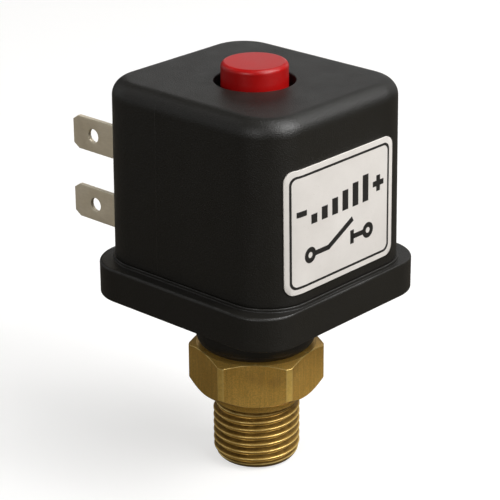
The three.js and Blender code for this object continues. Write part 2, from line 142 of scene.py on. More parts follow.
def circle_like(outline, radius, x=0.0, y=0.0):
    """A circle whose points lie in the directions of the outline's points."""
    turn = np.arctan2(outline[:, 1] - y, outline[:, 0] - x)
    return np.c_[x + radius * np.cos(turn), y + radius * np.sin(turn)]


def rounded_rect(width, length, radius, corner_steps=16, side_steps=10, marks=()):
    """Counter-clockwise outline from the +X side. marks: extra y positions on the -X side."""
    half_x, half_y = width / 2 - radius, length / 2 - radius
    centres = [(half_x, half_y), (-half_x, half_y), (-half_x, -half_y), (half_x, -half_y)]
    fractions = [i / side_steps for i in range(1, side_steps)]
    points = []
    for k, (x, y) in enumerate(centres):
        for i in range(corner_steps + 1):
            turn = radians(90 * k + 90 * i / corner_steps)
            points.append((x + radius * cos(turn), y + radius * sin(turn)))
        turn = radians(90 * k + 90)
        reach = np.array([radius * cos(turn), radius * sin(turn)])
        start, end = np.array([x, y]) + reach, np.array(centres[(k + 1) % 4]) + reach
        if k == 1 and len(marks):
            plain = [float(start[1] + (end[1] - start[1]) * t) for t in fractions]
            points += [(start[0], mark) for mark in sorted(set(plain + list(marks)), reverse=True)]
        else:
            points += [tuple(start + (end - start) * t) for t in fractions]
    return np.array(points)


def coil(x, y, radius, z0, z1, turns, steps=40):
    """Helix with dead coils at both ends."""
    t = np.linspace(0, 1, int(turns * steps) + 1)
    dead, slow = 0.8 / turns, 0.35
    live = dead * slow + (t - dead) * (1 - 2 * slow * dead) / (1 - 2 * dead)
    rise = np.where(t < dead, t * slow, np.where(t > 1 - dead, 1 - (1 - t) * slow, live))
    turn = 2 * pi * turns * t
    return np.c_[x + radius * np.cos(turn), y + radius * np.sin(turn), z0 + (z1 - z0) * rise]


def through(points, steps=14):
    """Centripetal Catmull-Rom curve through the points, its ends mirrored."""
    points = [np.array(point, float) for point in points]
    points = [2 * points[0] - points[1]] + points + [2 * points[-1] - points[-2]]
    out = []
    for i in range(1, len(points) - 2):
        p0, p1, p2, p3 = points[i - 1:i + 3]
        g0, g1, g2 = [max(1e-4, norm(b - a) ** 0.5) for a, b in ((p0, p1), (p1, p2), (p2, p3))]
        leave = ((p1 - p0) / g0 - (p2 - p0) / (g0 + g1) + (p2 - p1) / g1) * g1
        arrive = ((p2 - p1) / g1 - (p3 - p1) / (g1 + g2) + (p3 - p2) / g2) * g1
        square = -3 * p1 + 3 * p2 - 2 * leave - arrive
        cube = 2 * p1 - 2 * p2 + leave + arrive
        out += [p1 + leave * t + square * t * t + cube * t ** 3 for t in np.arange(steps) / steps]
    return np.array(out + [points[-2]])


# ================================================================ meshes
class Shell:
    """Collects points (millimetres) and faces of one piece."""

    def __init__(self):
        self.parts, self.faces, self.count = [], [], 0

    def add(self, points):
        points = np.asarray(points, float).reshape(-1, 3)
        self.parts.append(points)
        start = self.count
        self.count += len(points)
        return start

    def rings(self, rings, loop=False):
        """Quads between closed rings of equal length. loop joins the last ring to the first."""
        size, count = len(rings[0]), len(rings)
        start = self.add(np.concatenate([np.asarray(ring, float) for ring in rings]))
        for i in range(count if loop else count - 1):
            a, b = start + i * size, start + ((i + 1) % count) * size
            for j in range(size):
                k = (j + 1) % size
                self.faces.append((a + j, a + k, b + k, b + j))

    def cap(self, ring, start, flip=False):
        """A fan over the ring whose points begin at index start."""
        centre = self.add(ring.mean(0)[None])
        for j in range(len(ring)):
            face = (start + j, start + (j + 1) % len(ring), centre)
            self.faces.append(face[::-1] if flip else face)

    def transform(self, move):
        self.parts = [move(part) for part in self.parts]


def prism(rings):
    """Rings joined one to the next, with one face over each end."""
    shell = Shell()
    shell.rings(rings)
    size = len(rings[0])
    shell.faces.append(tuple(range(size))[::-1])
    shell.faces.append(tuple(range(shell.count - size, shell.count)))
    return shell


def build(name, shell, sharp=32, normals=True):
    """The finished mesh object: metres, welded, faces pointing outwards."""
    mesh = bpy.data.meshes.new(name)
    points = np.concatenate(shell.parts) * MM
    mesh.from_pydata([tuple(point) for point in points], [], shell.faces)
    bm = bmesh.new()
    bm.from_mesh(mesh)
    bmesh.ops.remove_doubles(bm, verts=bm.verts, dist=WELD)
    bmesh.ops.dissolve_degenerate(bm, edges=bm.edges, dist=WELD)
    loose = [vert for vert in bm.verts if not vert.link_faces]
    if loose:
        bmesh.ops.delete(bm, geom=loose, context="VERTS")
    bmesh.ops.recalc_face_normals(bm, faces=bm.faces)
    if bm.calc_volume(signed=True) < 0:
        bmesh.ops.reverse_faces(bm, faces=bm.faces)
    bm.to_mesh(mesh)
    bm.free()
    return dress(name, mesh, sharp, normals)


def dress(name, mesh, sharp=32, normals=True):
    """Smooth shading with edges over the sharp angle kept, and the 'edge' attribute, which drives
    edge wear and painted edge highlights.
    """
    mesh.polygons.foreach_set("use_smooth", [True] * len(mesh.polygons))
    mesh.set_sharp_from_angle(angle=radians(sharp))
    mark_edges(mesh)
    obj = bpy.data.objects.new(name, mesh)
    bpy.context.scene.collection.objects.link(obj)
    if normals:
        modifier = obj.modifiers.new("normals", "WEIGHTED_NORMAL")
        modifier.keep_sharp = True
        modifier.weight = 50
    return obj


def mark_edges(mesh):
    """Point attribute 'edge': 0 on flat or hollow areas, towards 1 on outer edges."""
    bm = bmesh.new()
    bm.from_mesh(mesh)
    values = np.zeros(len(bm.verts), np.float32)
    bm.verts.index_update()
    for edge in bm.edges:
        if len(edge.link_faces) == 2:
            bend = edge.calc_face_angle_signed(0.0)
            width = sum(face.calc_area() for face in edge.link_faces)
            width /= max(edge.calc_length(), 1e-9)
            value = max(0.0, min(1.0, bend / max(width / MM, 0.04) / 2.2))
            for vert in edge.verts:
                values[vert.index] = max(values[vert.index], value)
    bm.free()
    attribute = mesh.attributes.get("edge") or mesh.attributes.new("edge", "FLOAT", "POINT")
    attribute.data.foreach_set("value", values)


def boolean(obj, cutters, kind="DIFFERENCE"):
    """Applies the cutters to obj, throws them away and gives the new object."""
    for modifier in list(obj.modifiers):
        obj.modifiers.remove(modifier)
    for cutter in cutters:
        modifier = obj.modifiers.new("b", "BOOLEAN")
        modifier.operation, modifier.solver, modifier.object = kind, "EXACT", cutter
    bpy.context.view_layer.update()
    graph = bpy.context.evaluated_depsgraph_get()
    mesh = bpy.data.meshes.new_from_object(obj.evaluated_get(graph), depsgraph=graph)
    name = obj.name
    for used in (*cutters, obj):
        bpy.data.objects.remove(used)
    bm = bmesh.new()
    bm.from_mesh(mesh)
    bmesh.ops.remove_doubles(bm, verts=bm.verts, dist=1e-7)
    bmesh.ops.dissolve_degenerate(bm, edges=bm.edges, dist=1e-7)
    bmesh.ops.triangulate(bm, faces=[face for face in bm.faces if len(face.verts) > 4])
    bm.to_mesh(mesh)
    bm.free()
    mesh.name = name
    return dress(name, mesh)


def bevel(obj, width, angle):
    modifier = obj.modifiers.new("edges", "BEVEL")
    modifier.width, modifier.segments = width * MM, 2
    modifier.limit_method, modifier.angle_limit = "ANGLE", radians(angle)
    modifier.harden_normals = False
    modifier.miter_outer = "MITER_ARC"


def box_cutter(x0, x1, y0, y1, z0, z1):
    rings = [[(x0, y0, z), (x1, y0, z), (x1, y1, z), (x0, y1, z)] for z in (z0, z1)]
    return build("cutter", prism(rings), normals=False)


def rod_cutter(radius, z0, z1, x, y, n=40):
    rings = [circle(radius, n, x, y, z0), circle(radius, n, x, y, z1)]
    return build("cutter", prism(rings), normals=False)


def lathe_shell(profile, n, x=0.0, y=0.0, closed=False):
    shell = Shell()
    shell.rings([circle(max(radius, 0.0), n, x, y, z) for radius, z in profile], loop=closed)
    return shell


def sweep(name, path, radius, sides=14):
    """A round wire along a path, its ends slightly domed."""
    tangents = np.gradient(path, axis=0)
    tangents /= norm(tangents, axis=1)[:, None]
    side = np.cross(tangents[0], [0.3, 0.2, 1.0])
    sideways = [side / norm(side)]
    for tangent in tangents[1:]:
        side = sideways[-1] - tangent * (sideways[-1] @ tangent)
        sideways.append(side / norm(side))
    sideways = np.array(sideways)
    across = np.cross(tangents, sideways)
    turn = angles(sides)
    cosines, sines = np.cos(turn)[:, None], np.sin(turn)[:, None]

    def ring(i, centre, size):
        return centre + size * (cosines * sideways[i] + sines * across[i])

    dome, shrunk = radius * 0.3, 0.72 * radius
    rings = [ring(0, path[0] - tangents[0] * dome, shrunk)]
    rings += [ring(i, point, radius) for i, point in enumerate(path)]
    rings.append(ring(-1, path[-1] + tangents[-1] * dome, shrunk))
    shell = Shell()
    shell.rings(rings)
    last = shell.count - sides
    shell.cap(rings[0], 0, flip=True)
    shell.cap(rings[-1], last)
    return build(name, shell, sharp=50, normals=False)


def helix(shell, columns, z0, z1, pitch, knots, skin, lead=0.0):
    """A threaded surface between z0 and z1.

    columns: ascending angles within one turn. knots: where points sit within one pitch.
    skin(z, phase) gives the radius.
    """
    turns = int(ceil((z1 - z0) / pitch)) + 2
    places = np.array([(turn - 1) + knot for turn in range(turns + 1) for knot in knots])
    lines = []
    for column in columns:
        part = (column - columns[0]) / (2 * pi)
        z = np.clip(z0 + pitch * (places + part + lead), z0, z1)
        phases = ((z - z0) / pitch - part - lead) % 1.0
        radius = np.array([skin(height, phase) for height, phase in zip(z, phases)])
        lines.append(np.c_[radius * np.cos(column), radius * np.sin(column), z])
    size = len(places)
    start = shell.add(np.concatenate(lines))
    for j in range(len(lines)):
        last = j == len(lines) - 1
        shift = len(knots) if last else 0
        a, b = start + j * size, start + (0 if last else (j + 1) * size)
        for i in range(size - 1 - shift):
            shell.faces.append((a + i, b + i + shift, b + i + 1 + shift, a + i + 1))


# ================================================================ materials
def shade(colour, factor, lift=0.0):
    return tuple(min(1, channel * factor + lift) for channel in colour)


class Mat:
    """A material round one Principled BSDF. Most methods add a node and return its output."""

    def __init__(self, name):
        self.material = bpy.data.materials.new(name)
        self.material.use_nodes = True
        self.tree = self.material.node_tree
        self.tree.nodes.clear()
        output = self.node("OutputMaterial")
        self.bsdf = self.node("BsdfPrincipled")
        self.tree.links.new(self.bsdf.outputs[0], output.inputs[0])
        self.pos = self.node("TexCoord").outputs["Object"]

    def node(self, kind):
        return self.tree.nodes.new("ShaderNode" + kind)

    def put(self, socket, value):
        if isinstance(value, bpy.types.NodeSocket):
            self.tree.links.new(value, socket)
        elif isinstance(value, tuple) and socket.type == "RGBA":
            socket.default_value = (*value, 1)
        else:
            socket.default_value = value

    def fill(self, node, *values):
        """Puts the values into the node's first inputs and returns its first output."""
        for socket, value in zip(node.inputs, values):
            self.put(socket, value)
        return node.outputs[0]

    def finish(self, **values):
        """Sets inputs of the BSDF and returns the material."""
        for name, value in values.items():
            self.put(self.bsdf.inputs[name.replace("_", " ")], value)
        return self.material

    def math(self, operation, first, second=0.0, clamp=False):
        node = self.node("Math")
        node.operation, node.use_clamp = operation, clamp
        return self.fill(node, first, second, 0.0)

    def add(self, first, second, clamp=False):
        return self.math("ADD", first, second, clamp)

    def sub(self, first, second, clamp=False):
        return self.math("SUBTRACT", first, second, clamp)

    def mul(self, value, by):
        return self.math("MULTIPLY", value, by)

    def swing(self, value, gain):
        """A 0 to 1 value swung about zero."""
        return self.mul(self.sub(value, 0.5), by=gain)

    def vector_math(self, operation, vector):
        node = self.node("VectorMath")
        node.operation = operation
        return self.fill(node, self.pos, vector)

    def stretch(self, x, y, z):
        return self.vector_math("MULTIPLY", (x, y, z))

    def combine(self, x, y, z):
        return self.fill(self.node("CombineXYZ"), x, y, z)

    def polar(self):
        """(angle in radians, radius, z) about the main axis."""
        node = self.node("SeparateXYZ")
        self.fill(node, self.vector_math("SUBTRACT", (0, 0, 0)))
        x, y, z = node.outputs
        squares = self.add(self.mul(x, by=x), self.mul(y, by=y))
        return self.math("ARCTAN2", y, x), self.math("SQRT", squares), z

    def noise(self, scale, detail, rough, vector=None, distort=0.0):
        node = self.node("TexNoise")
        self.put(node.inputs["Vector"], self.pos if vector is None else vector)
        node.inputs["Scale"].default_value = scale
        node.inputs["Detail"].default_value = detail
        node.inputs["Roughness"].default_value = rough
        node.inputs["Distortion"].default_value = distort
        return node.outputs["Fac"]

    def voronoi(self, scale, feature="F1"):
        node = self.node("TexVoronoi")
        node.feature = feature
        self.put(node.inputs["Vector"], self.pos)
        node.inputs["Scale"].default_value = scale
        return node.outputs["Distance"]

    def remap(self, value, span, to=(0.0, 1.0)):
        return self.fill(self.node("MapRange"), value, *span, *to)

    def specks(self, scale, size, patch_scale, patch_span):
        """Small dots, kept only inside noisy patches."""
        dots = self.remap(self.voronoi(scale), span=size)
        patches = self.noise(scale=patch_scale, detail=2, rough=0.5)
        return self.mul(dots, by=self.remap(patches, span=patch_span))

    def mix(self, amount, base, over, kind="MIX"):
        node = self.node("Mix")
        node.data_type, node.blend_type = "RGBA", kind
        for index, value in ((0, amount), (6, base), (7, over)):
            self.put(node.inputs[index], value)
        return node.outputs[2]

    def bump(self, height, depth, strength, under=None):
        """depth is in millimetres; under is the normal it adds to."""
        node = self.node("Bump")
        node.inputs["Strength"].default_value = strength
        node.inputs["Distance"].default_value = depth * MM
        self.put(node.inputs["Height"], height)
        if under is not None:
            self.put(node.inputs["Normal"], under)
        return node.outputs[0]

    def attribute(self, name):
        node = self.node("Attribute")
        node.attribute_name = name
        return node.outputs["Fac"]

    def edges(self, span):
        return self.remap(self.attribute("edge"), span=span)


def mat_moulded(name):
    """Moulded black plastic: eroded grain, faint flow marks, rubbed edges and a little dust."""
    base, rough = (0.0082, 0.0074, 0.0056), 0.44
    m = Mat(name)
    pits = m.voronoi(scale=4300, feature="SMOOTH_F1")
    fine = m.noise(scale=6800, detail=2, rough=0.6)
    grain = m.add(m.mul(pits, by=0.9), m.mul(fine, by=0.8))
    flow = m.noise(scale=60, detail=4, rough=0.6, vector=m.stretch(1, 1, 0.35))
    wide = m.noise(scale=180, detail=4, rough=0.55)
    patchy = m.remap(m.noise(scale=700, detail=4, rough=0.6), span=(0.38, 0.68))
    wear = m.mul(m.edges(span=(0.15, 0.9)), by=patchy)
    colour = m.mix(m.remap(flow, span=(0.3, 0.75)),
                   base=shade(base, factor=0.86), over=shade(base, factor=1.16))
    colour = m.mix(m.mul(wear, by=0.5), colour, over=(0.05, 0.048, 0.044))
    dust = m.specks(scale=210, size=(0.028, 0.018), patch_scale=90, patch_span=(0.52, 0.6))
    colour = m.mix(m.mul(dust, by=0.55), colour, over=(0.22, 0.21, 0.19))
    broad = m.remap(wide, span=(0.25, 0.75), to=(rough - 0.045, rough + 0.045))
    roughness = m.add(broad, m.swing(fine, gain=0.12))
    roughness = m.sub(roughness, m.mul(wear, by=0.1), clamp=True)
    normal = m.bump(wide, depth=0.012, strength=0.6)
    normal = m.bump(grain, depth=0.042, strength=1.0, under=normal)
    return m.finish(Base_Color=colour, Roughness=roughness, Normal=normal, Specular_IOR_Level=0.5)


def mat_brass(name, flats=True):
    """Machined brass with turning lines, tarnish, pits and a painted highlight on its edges. flats:
    this is the hexagon fitting, which also gets painted shade in its thread's valleys and a painted
    highlight on its turned corners.
    """
    m = Mat(name)
    angle, radius, z = m.polar()
    flat = m.attribute("flat") if flats else 0.0
    # upright cutter lines for the hexagon's flats
    upright = m.combine(m.mul(angle, by=0.0115), 0.0, m.mul(z, by=0.035))
    mill_fine = m.mul(m.noise(scale=5200, detail=3, rough=0.65, vector=upright), by=0.6)
    mill_wide = m.mul(m.noise(scale=1500, detail=2, rough=0.5, vector=upright), by=0.5)
    level = m.combine(m.mul(angle, by=0.00035), m.mul(radius, by=1.0), m.mul(z, by=1.0))
    turned_lines = m.noise(scale=9000, detail=3, rough=0.65, vector=level)
    lines = m.mix(flat, turned_lines, m.add(mill_fine, mill_wide))
    blotch = m.noise(scale=170, detail=5, rough=0.62, distort=0.4)
    fine = m.noise(scale=4200, detail=3, rough=0.6)
    pit = m.specks(scale=620, size=(0.1, 0.05), patch_scale=420, patch_span=(0.58, 0.66))
    colour = m.mix(m.remap(blotch, span=(0.28, 0.72)),
                   base=(0.80, 0.450, 0.080), over=(1.0, 0.625, 0.150))
    colour = m.mix(m.remap(lines, span=(0.34, 0.66), to=(0.0, 0.5)), colour,
                   over=(0.44, 0.25, 0.055))
    colour = m.mix(m.mul(m.remap(fine, span=(0.42, 0.62)), by=0.5), colour,
                   over=(0.40, 0.25, 0.065))
    clouds = m.remap(m.noise(scale=95, detail=4, rough=0.6), span=(0.56, 0.74))
    stain = m.mul(clouds, by=0.45)
    colour = m.mix(stain, colour, over=(0.31, 0.185, 0.065))
    colour = m.mix(m.mul(pit, by=0.8), colour, over=(0.05, 0.03, 0.015))
    if flats:
        # painted shade in the thread's valleys, broken up by noise: spans are radii and heights in
        # metres
        low = m.mul(m.remap(radius, span=(0.00798, 0.00765)),
                    by=m.remap(z, span=(0.01165, 0.01155)))
        low = m.mul(low, by=m.remap(radius, span=(0.0071, 0.00715)))
        valley_shade_noise = m.noise(scale=900, detail=3, rough=0.6, vector=m.stretch(1, 1, 0.5))
        low = m.mul(low, by=m.remap(valley_shade_noise, span=(0.3, 0.7), to=(0.66, 0.9)))
        colour = m.mix(low, colour, over=(0.10, 0.052, 0.011))
        # painted highlight on the hexagon's turned corners
        bright = m.noise(scale=1500, detail=3, rough=0.6)
        corner = m.mul(m.remap(radius, span=(0.01230, 0.01237)),
                       by=m.remap(bright, span=(0.3, 0.6), to=(0.45, 0.95)))
        colour = m.mix(m.mul(corner, by=0.7), colour, over=(1.0, 0.70, 0.19))
    # painted highlight along the outer edges, in a pale gold
    edge = m.edges(span=(0.1, 0.8))
    colour = m.mix(m.mul(edge, by=0.8), colour, over=(1.0, 0.74, 0.27))
    roughness = m.add(m.remap(blotch, span=(0.25, 0.75), to=(0.29, 0.40)),
                      m.swing(lines, gain=0.22))
    roughness = m.add(roughness, m.mul(stain, by=0.25))
    roughness = m.sub(roughness, m.mul(edge, by=0.08), clamp=True)
    normal = m.bump(lines, depth=0.011, strength=0.9)
    normal = m.bump(m.sub(m.mul(fine, by=0.6), pit), depth=0.014, strength=0.9, under=normal)
    return m.finish(Base_Color=colour, Metallic=0.55, Roughness=roughness, Normal=normal,
                    Specular_IOR_Level=0.2)


def mat_metal(name, dark, light, rough, axis, scale, tarnish=None, depth=0.004, spots=0.25,
              metallic=1.0):
    """Plated or rolled metal: grain lines stretched by axis, cloudy tint, small spots."""
    m = Mat(name)
    lines = m.noise(scale=scale, detail=4, rough=0.62, vector=m.stretch(*axis))
    cloud = m.noise(scale=260, detail=5, rough=0.6, distort=0.3)
    spot = m.specks(scale=1300, size=(0.14, 0.06), patch_scale=700, patch_span=(0.5, 0.62))
    colour = m.mix(m.remap(cloud, span=(0.3, 0.72)), dark, light)
    colour = m.mix(m.remap(lines, span=(0.35, 0.7), to=(0.0, 0.22)), colour,
                   over=shade(dark, factor=0.72))
    colour = m.mix(m.mul(spot, by=spots), colour, over=shade(dark, factor=0.35))
    if tarnish:
        patches = m.remap(m.noise(scale=120, detail=4, rough=0.6), span=(0.5, 0.78))
        colour = m.mix(m.mul(patches, by=0.5), colour, tarnish)
    colour = m.mix(m.mul(m.edges(span=(0.1, 0.8)), by=0.35), colour,
                   over=shade(light, factor=1.25))
    broad = m.remap(cloud, span=(0.25, 0.75), to=(rough - 0.05, rough + 0.06))
    roughness = m.add(broad, m.swing(lines, gain=0.2), clamp=True)
    normal = m.bump(m.sub(lines, m.mul(spot, by=0.6)), depth=depth, strength=0.9)
    return m.finish(Base_Color=colour, Metallic=metallic, Roughness=roughness, Normal=normal)


def mat_plastic(name, dark, light, rough, grain, specular=0.5, subsurface=0.0, scratch=0.0):
    """Moulded or turned plastic with fine grain, cloudy colour and scuffs."""
    m = Mat(name)
    fine = m.noise(scale=3000, detail=3, rough=0.6)
    cloud = m.noise(scale=150, detail=4, rough=0.6)
    streak = m.noise(scale=900, detail=5, rough=0.7, vector=m.stretch(1, 0.16, 0.5), distort=0.8)
    patches = m.remap(m.noise(scale=140, detail=2, rough=0.5), span=(0.45, 0.65))
    scuff = m.mul(m.remap(streak, span=(0.62, 0.7)), by=patches)
    colour = m.mix(m.remap(cloud, span=(0.3, 0.72)), dark, light)
    colour = m.mix(m.mul(scuff, by=scratch), colour, over=shade(light, factor=1.6, lift=0.03))
    colour = m.mix(m.mul(m.edges(span=(0.2, 0.9)), by=0.18), colour,
                   over=shade(light, factor=1.4, lift=0.02))
    broad = m.remap(cloud, span=(0.25, 0.75), to=(rough - 0.05, rough + 0.05))
    roughness = m.add(broad, m.mul(scuff, by=0.15), clamp=True)
    normal = m.bump(m.add(fine, m.mul(scuff, by=-0.5)), depth=grain, strength=0.9)
    m.finish(Base_Color=colour, Roughness=roughness, Normal=normal,
             Specular_IOR_Level=specular, Coat_Roughness=0.22)
    if subsurface:
        m.finish(Subsurface_Weight=subsurface, Subsurface_Scale=0.0012,
                 Subsurface_Radius=(1.0, 0.12, 0.08))
    return m.material


def mat_rubber(name):
    m = Mat(name)
    grain = m.noise(scale=2200, detail=4, rough=0.65)
    bloom = m.noise(scale=120, detail=4, rough=0.6)
    colour = m.mix(m.remap(bloom, span=(0.35, 0.75)),
                   base=(0.010, 0.010, 0.010), over=(0.022, 0.021, 0.020))
    return m.finish(Base_Color=colour,
                    Roughness=m.remap(grain, span=(0.3, 0.7), to=(0.28, 0.46)),
                    Normal=m.bump(grain, depth=0.008, strength=0.8), Specular_IOR_Level=0.5)


def mat_phenolic(name):
    """Brown filled moulding: short fibres in a glossy resin."""
    m = Mat(name)
    fibres = m.noise(scale=800, detail=5, rough=0.7, vector=m.stretch(1, 0.4, 1), distort=1.2)
    flecks = m.noise(scale=1900, detail=3, rough=0.6, vector=m.stretch(0.4, 1, 1))
    colour = m.mix(m.remap(fibres, span=(0.35, 0.68)),
                   base=(0.045, 0.019, 0.009), over=(0.10, 0.045, 0.02))
    colour = m.mix(m.remap(flecks, span=(0.6, 0.75), to=(0.0, 0.5)), colour,
                   over=(0.17, 0.09, 0.045))
    return m.finish(Base_Color=colour,
                    Roughness=m.remap(fibres, span=(0.3, 0.7), to=(0.3, 0.48)),
                    Normal=m.bump(m.add(fibres, flecks), depth=0.008, strength=0.8))


def mat_film(name):
    """Off-white film with paper-fine texture, slightly soiled towards its edges."""
    m = Mat(name)
    fine = m.noise(scale=2600, detail=4, rough=0.6)
    fibre = m.noise(scale=1300, detail=3, rough=0.6, vector=m.stretch(0.25, 1, 1))
    cloud = m.noise(scale=85, detail=4, rough=0.6)
    colour = m.mix(m.remap(cloud, span=(0.3, 0.75)),
                   base=(0.70, 0.665, 0.625), over=(0.79, 0.755, 0.715))
    colour = m.mix(m.remap(fine, span=(0.55, 0.75), to=(0.0, 0.2)), colour,
                   over=(0.58, 0.55, 0.50))
    speck = m.specks(scale=900, size=(0.07, 0.03), patch_scale=300, patch_span=(0.56, 0.62))
    colour = m.mix(m.mul(speck, by=0.5), colour, over=(0.25, 0.22, 0.19))
    colour = m.mix(m.mul(m.edges(span=(0.1, 0.8)), by=0.25), colour, over=(0.5, 0.46, 0.40))
    return m.finish(Base_Color=colour,
                    Roughness=m.remap(cloud, span=(0.3, 0.7), to=(0.42, 0.54)),
                    Normal=m.bump(m.add(fine, fibre), depth=0.004, strength=0.8))


def mat_ink(name):
    m = Mat(name)
    grain = m.noise(scale=3400, detail=4, rough=0.65)
    thin = m.noise(scale=420, detail=3, rough=0.6)
    colour = m.mix(m.remap(grain, span=(0.62, 0.8), to=(0.0, 0.35)),
                   base=(0.014, 0.013, 0.012), over=(0.05, 0.047, 0.044))
    colour = m.mix(m.remap(thin, span=(0.55, 0.8), to=(0.0, 0.3)), colour,
                   over=(0.03, 0.028, 0.026))
    return m.finish(Base_Color=colour,
                    Roughness=m.remap(grain, span=(0.3, 0.7), to=(0.4, 0.55)),
                    Normal=m.bump(grain, depth=0.003, strength=0.8))


MATERIALS = {
    "housing_black": mat_moulded("moulded_black"),
    "fitting_brass": mat_brass("machined_brass"),
    "seal_rubber": mat_rubber("rubber_black"),
    "pad_aluminium": mat_metal(
        "turned_aluminium", dark=(0.62, 0.63, 0.64), light=(0.72, 0.73, 0.74),
        rough=0.36, axis=(0.2, 0.2, 1.0), scale=3000),
    "rod_plastic": mat_plastic(
        "rod_natural", dark=(0.60, 0.55, 0.42), light=(0.70, 0.66, 0.53),
        rough=0.45, grain=0.006, subsurface=0.05),
    "spring_steel": mat_metal(
        "spring_wire", dark=(0.42, 0.43, 0.45), light=(0.56, 0.57, 0.58),
        rough=0.3, axis=(1, 1, 1), scale=2200, tarnish=(0.35, 0.30, 0.24)),
    "ring_brass": mat_brass("ring_brass", flats=False),
    "block_brown": mat_phenolic("filled_brown"),
    "screw_steel": mat_metal(
        "zinc_screw", dark=(0.50, 0.51, 0.50), light=(0.63, 0.64, 0.60),
        rough=0.34, axis=(1, 1, 1), scale=1600, tarnish=(0.52, 0.47, 0.33)),
    "terminal_tin": mat_metal(
        "tin_plate", dark=(0.86, 0.745, 0.545), light=(0.97, 0.86, 0.665),
        rough=0.38, axis=(1.0, 0.3, 1.0), scale=2400, tarnish=(0.58, 0.49, 0.36),
        depth=0.008, spots=0.15, metallic=0.3),
    "contact_silver": mat_metal(
        "contact_silver", dark=(0.78, 0.77, 0.74), light=(0.88, 0.87, 0.85),
        rough=0.25, axis=(1, 1, 0.3), scale=2600),
    "arm_copper": mat_metal(
        "spring_copper", dark=(0.62, 0.33, 0.17), light=(0.74, 0.43, 0.24),
        rough=0.3, axis=(0.05, 1.0, 1.0), scale=2400, tarnish=(0.36, 0.17, 0.09)),
    "bracket_steel": mat_metal(
        "bracket_plate", dark=(0.50, 0.51, 0.50), light=(0.62, 0.63, 0.60),
        rough=0.36, axis=(0.07, 1.0, 1.0), scale=1900, tarnish=(0.50, 0.46, 0.34)),
    "wire_red": mat_plastic(
        "wire_cover", dark=(0.30, 0.010, 0.008), light=(0.40, 0.016, 0.012),
        rough=0.38, grain=0.004),
    "button_red": mat_plastic(
        "button_red", dark=(0.33, 0.0028, 0.0026), light=(0.40, 0.0040, 0.0037),
        rough=0.34, grain=0.014, specular=0.36, subsurface=0.04, scratch=0.25),
    "stem_plastic": mat_plastic(
        "stem_natural", dark=(0.74, 0.72, 0.66), light=(0.82, 0.80, 0.75),
        rough=0.42, grain=0.004, subsurface=0.05),
    "label_white": mat_film("label_film"),
}
INK = mat_ink("label_ink")


def finish_with(obj, slot):
    obj.data.materials.clear()
    obj.data.materials.append(MATERIALS[slot])


def place(obj, node, slot=None):
    """obj stands for a CAD node: it takes the node's body, hides the node and wears its finish."""
    slot = slot or SLOT_OF[node]
    finish_with(obj, slot)
    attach(obj, BODY_OF[node])
    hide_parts(node)


def turned(node, name, rows, n, slot=None, x=0.0, y=0.0, closed=False, seg=4):
    """A turned piece. rows: (radius, z, corner radius); closed joins the last row to the first."""
    profile = rounded(rows, seg, closed)
    place(build(name, lathe_shell(profile, n, x, y, closed)), node, slot)


# ================================================================ brass fitting
SPIGOT_TOP = mmbox("brass_fitting")[1][2]
HEX_INNER, HEX_CORNER = 11.0, 12.4       # half across the flats, radius of the turned corners
HEX_Z0, HEX_Z1, HEX_TURN = 14.25, 22.6, radians(40.91)
HEX_FACE = 10.98                         # radius of the flat ring on each end of the hexagon
THREAD_R, THREAD_TOP, PITCH, DEPTH = 8.0, 10.9, 1.5, 0.92
UNDERCUT, COLLAR, COLLAR_Z = 7.2, 7.85, 11.5
BORE, FOOT_HOLE = 2.2, 0.4


def hex_columns():
    """Angles of the fitting's columns, crowded where a flat meets a corner."""
    flat_end = np.degrees(acos(HEX_INNER / HEX_CORNER))
    sector = list(np.linspace(-flat_end + 0.9, flat_end - 0.9, 19))
    sector += [flat_end + step for step in (-0.42, -0.12, 0.15, 0.5)] + [29.0, 31.0]
    sector += [60 - flat_end + step for step in (-0.5, -0.15, 0.12, 0.42)]
    return np.array([HEX_TURN + radians(60 * k + angle) for k in range(6) for angle in sector])


def hex_radius(column):
    """The hexagon's radius at an angle, flats and corners blended softly."""
    angle = (column - HEX_TURN) % radians(60)
    angle = min(angle, radians(60) - angle)
    flat, corner, blend = HEX_INNER / cos(angle), HEX_CORNER, 0.022
    least = min(flat, corner)
    return least - blend * log(exp(-(flat - least) / blend) + exp(-(corner - least) / blend))


COLUMNS = hex_columns()
# a crest passes through z = 2.05 at 222.3 degrees
LEAD = ((2.05 / PITCH) - ((radians(222.3) - COLUMNS[0]) / (2 * pi))) % 1.0 - 1.0
THREAD_KNOTS = [0.0, 0.04, 0.062, 0.085, 0.13, 0.20, 0.28, 0.345, 0.385, 0.43,
                0.5, 0.57, 0.615, 0.655, 0.72, 0.80, 0.87, 0.915, 0.938, 0.96]
# phase from the crest, share of the thread's depth
THREAD_FORM = np.array([(0.0, 0.0), (0.04, 0.0), (0.062, 0.012), (0.085, 0.055),
                        (0.345, 0.86), (0.385, 0.95), (0.43, 0.99), (0.5, 1.0)]).T
# z, largest radius at the thread's foot
THREAD_TIP = np.array([(0.0, 6.95), (0.25, 7.22), (0.6, 7.47),
                       (1.2, 7.78), (1.6, 7.93), (2.0, THREAD_R)]).T


def thread_radius(z, phase):
    limit = np.interp(z, *THREAD_TIP)
    radius = THREAD_R - DEPTH * np.interp(min(phase, 1 - phase), *THREAD_FORM)
    runout = THREAD_TOP - 0.75
    if z > runout:                       # the thread runs out into the undercut
        t = min(1.0, (z - runout) / 0.7)
        radius += (UNDERCUT - radius) * (t * t * (3 - 2 * t))
    if z < 0.9:                          # the thread starts out of the rounded end
        t = 1 - z / 0.9
        radius += (limit - radius) * t * t
    return min(radius, limit)


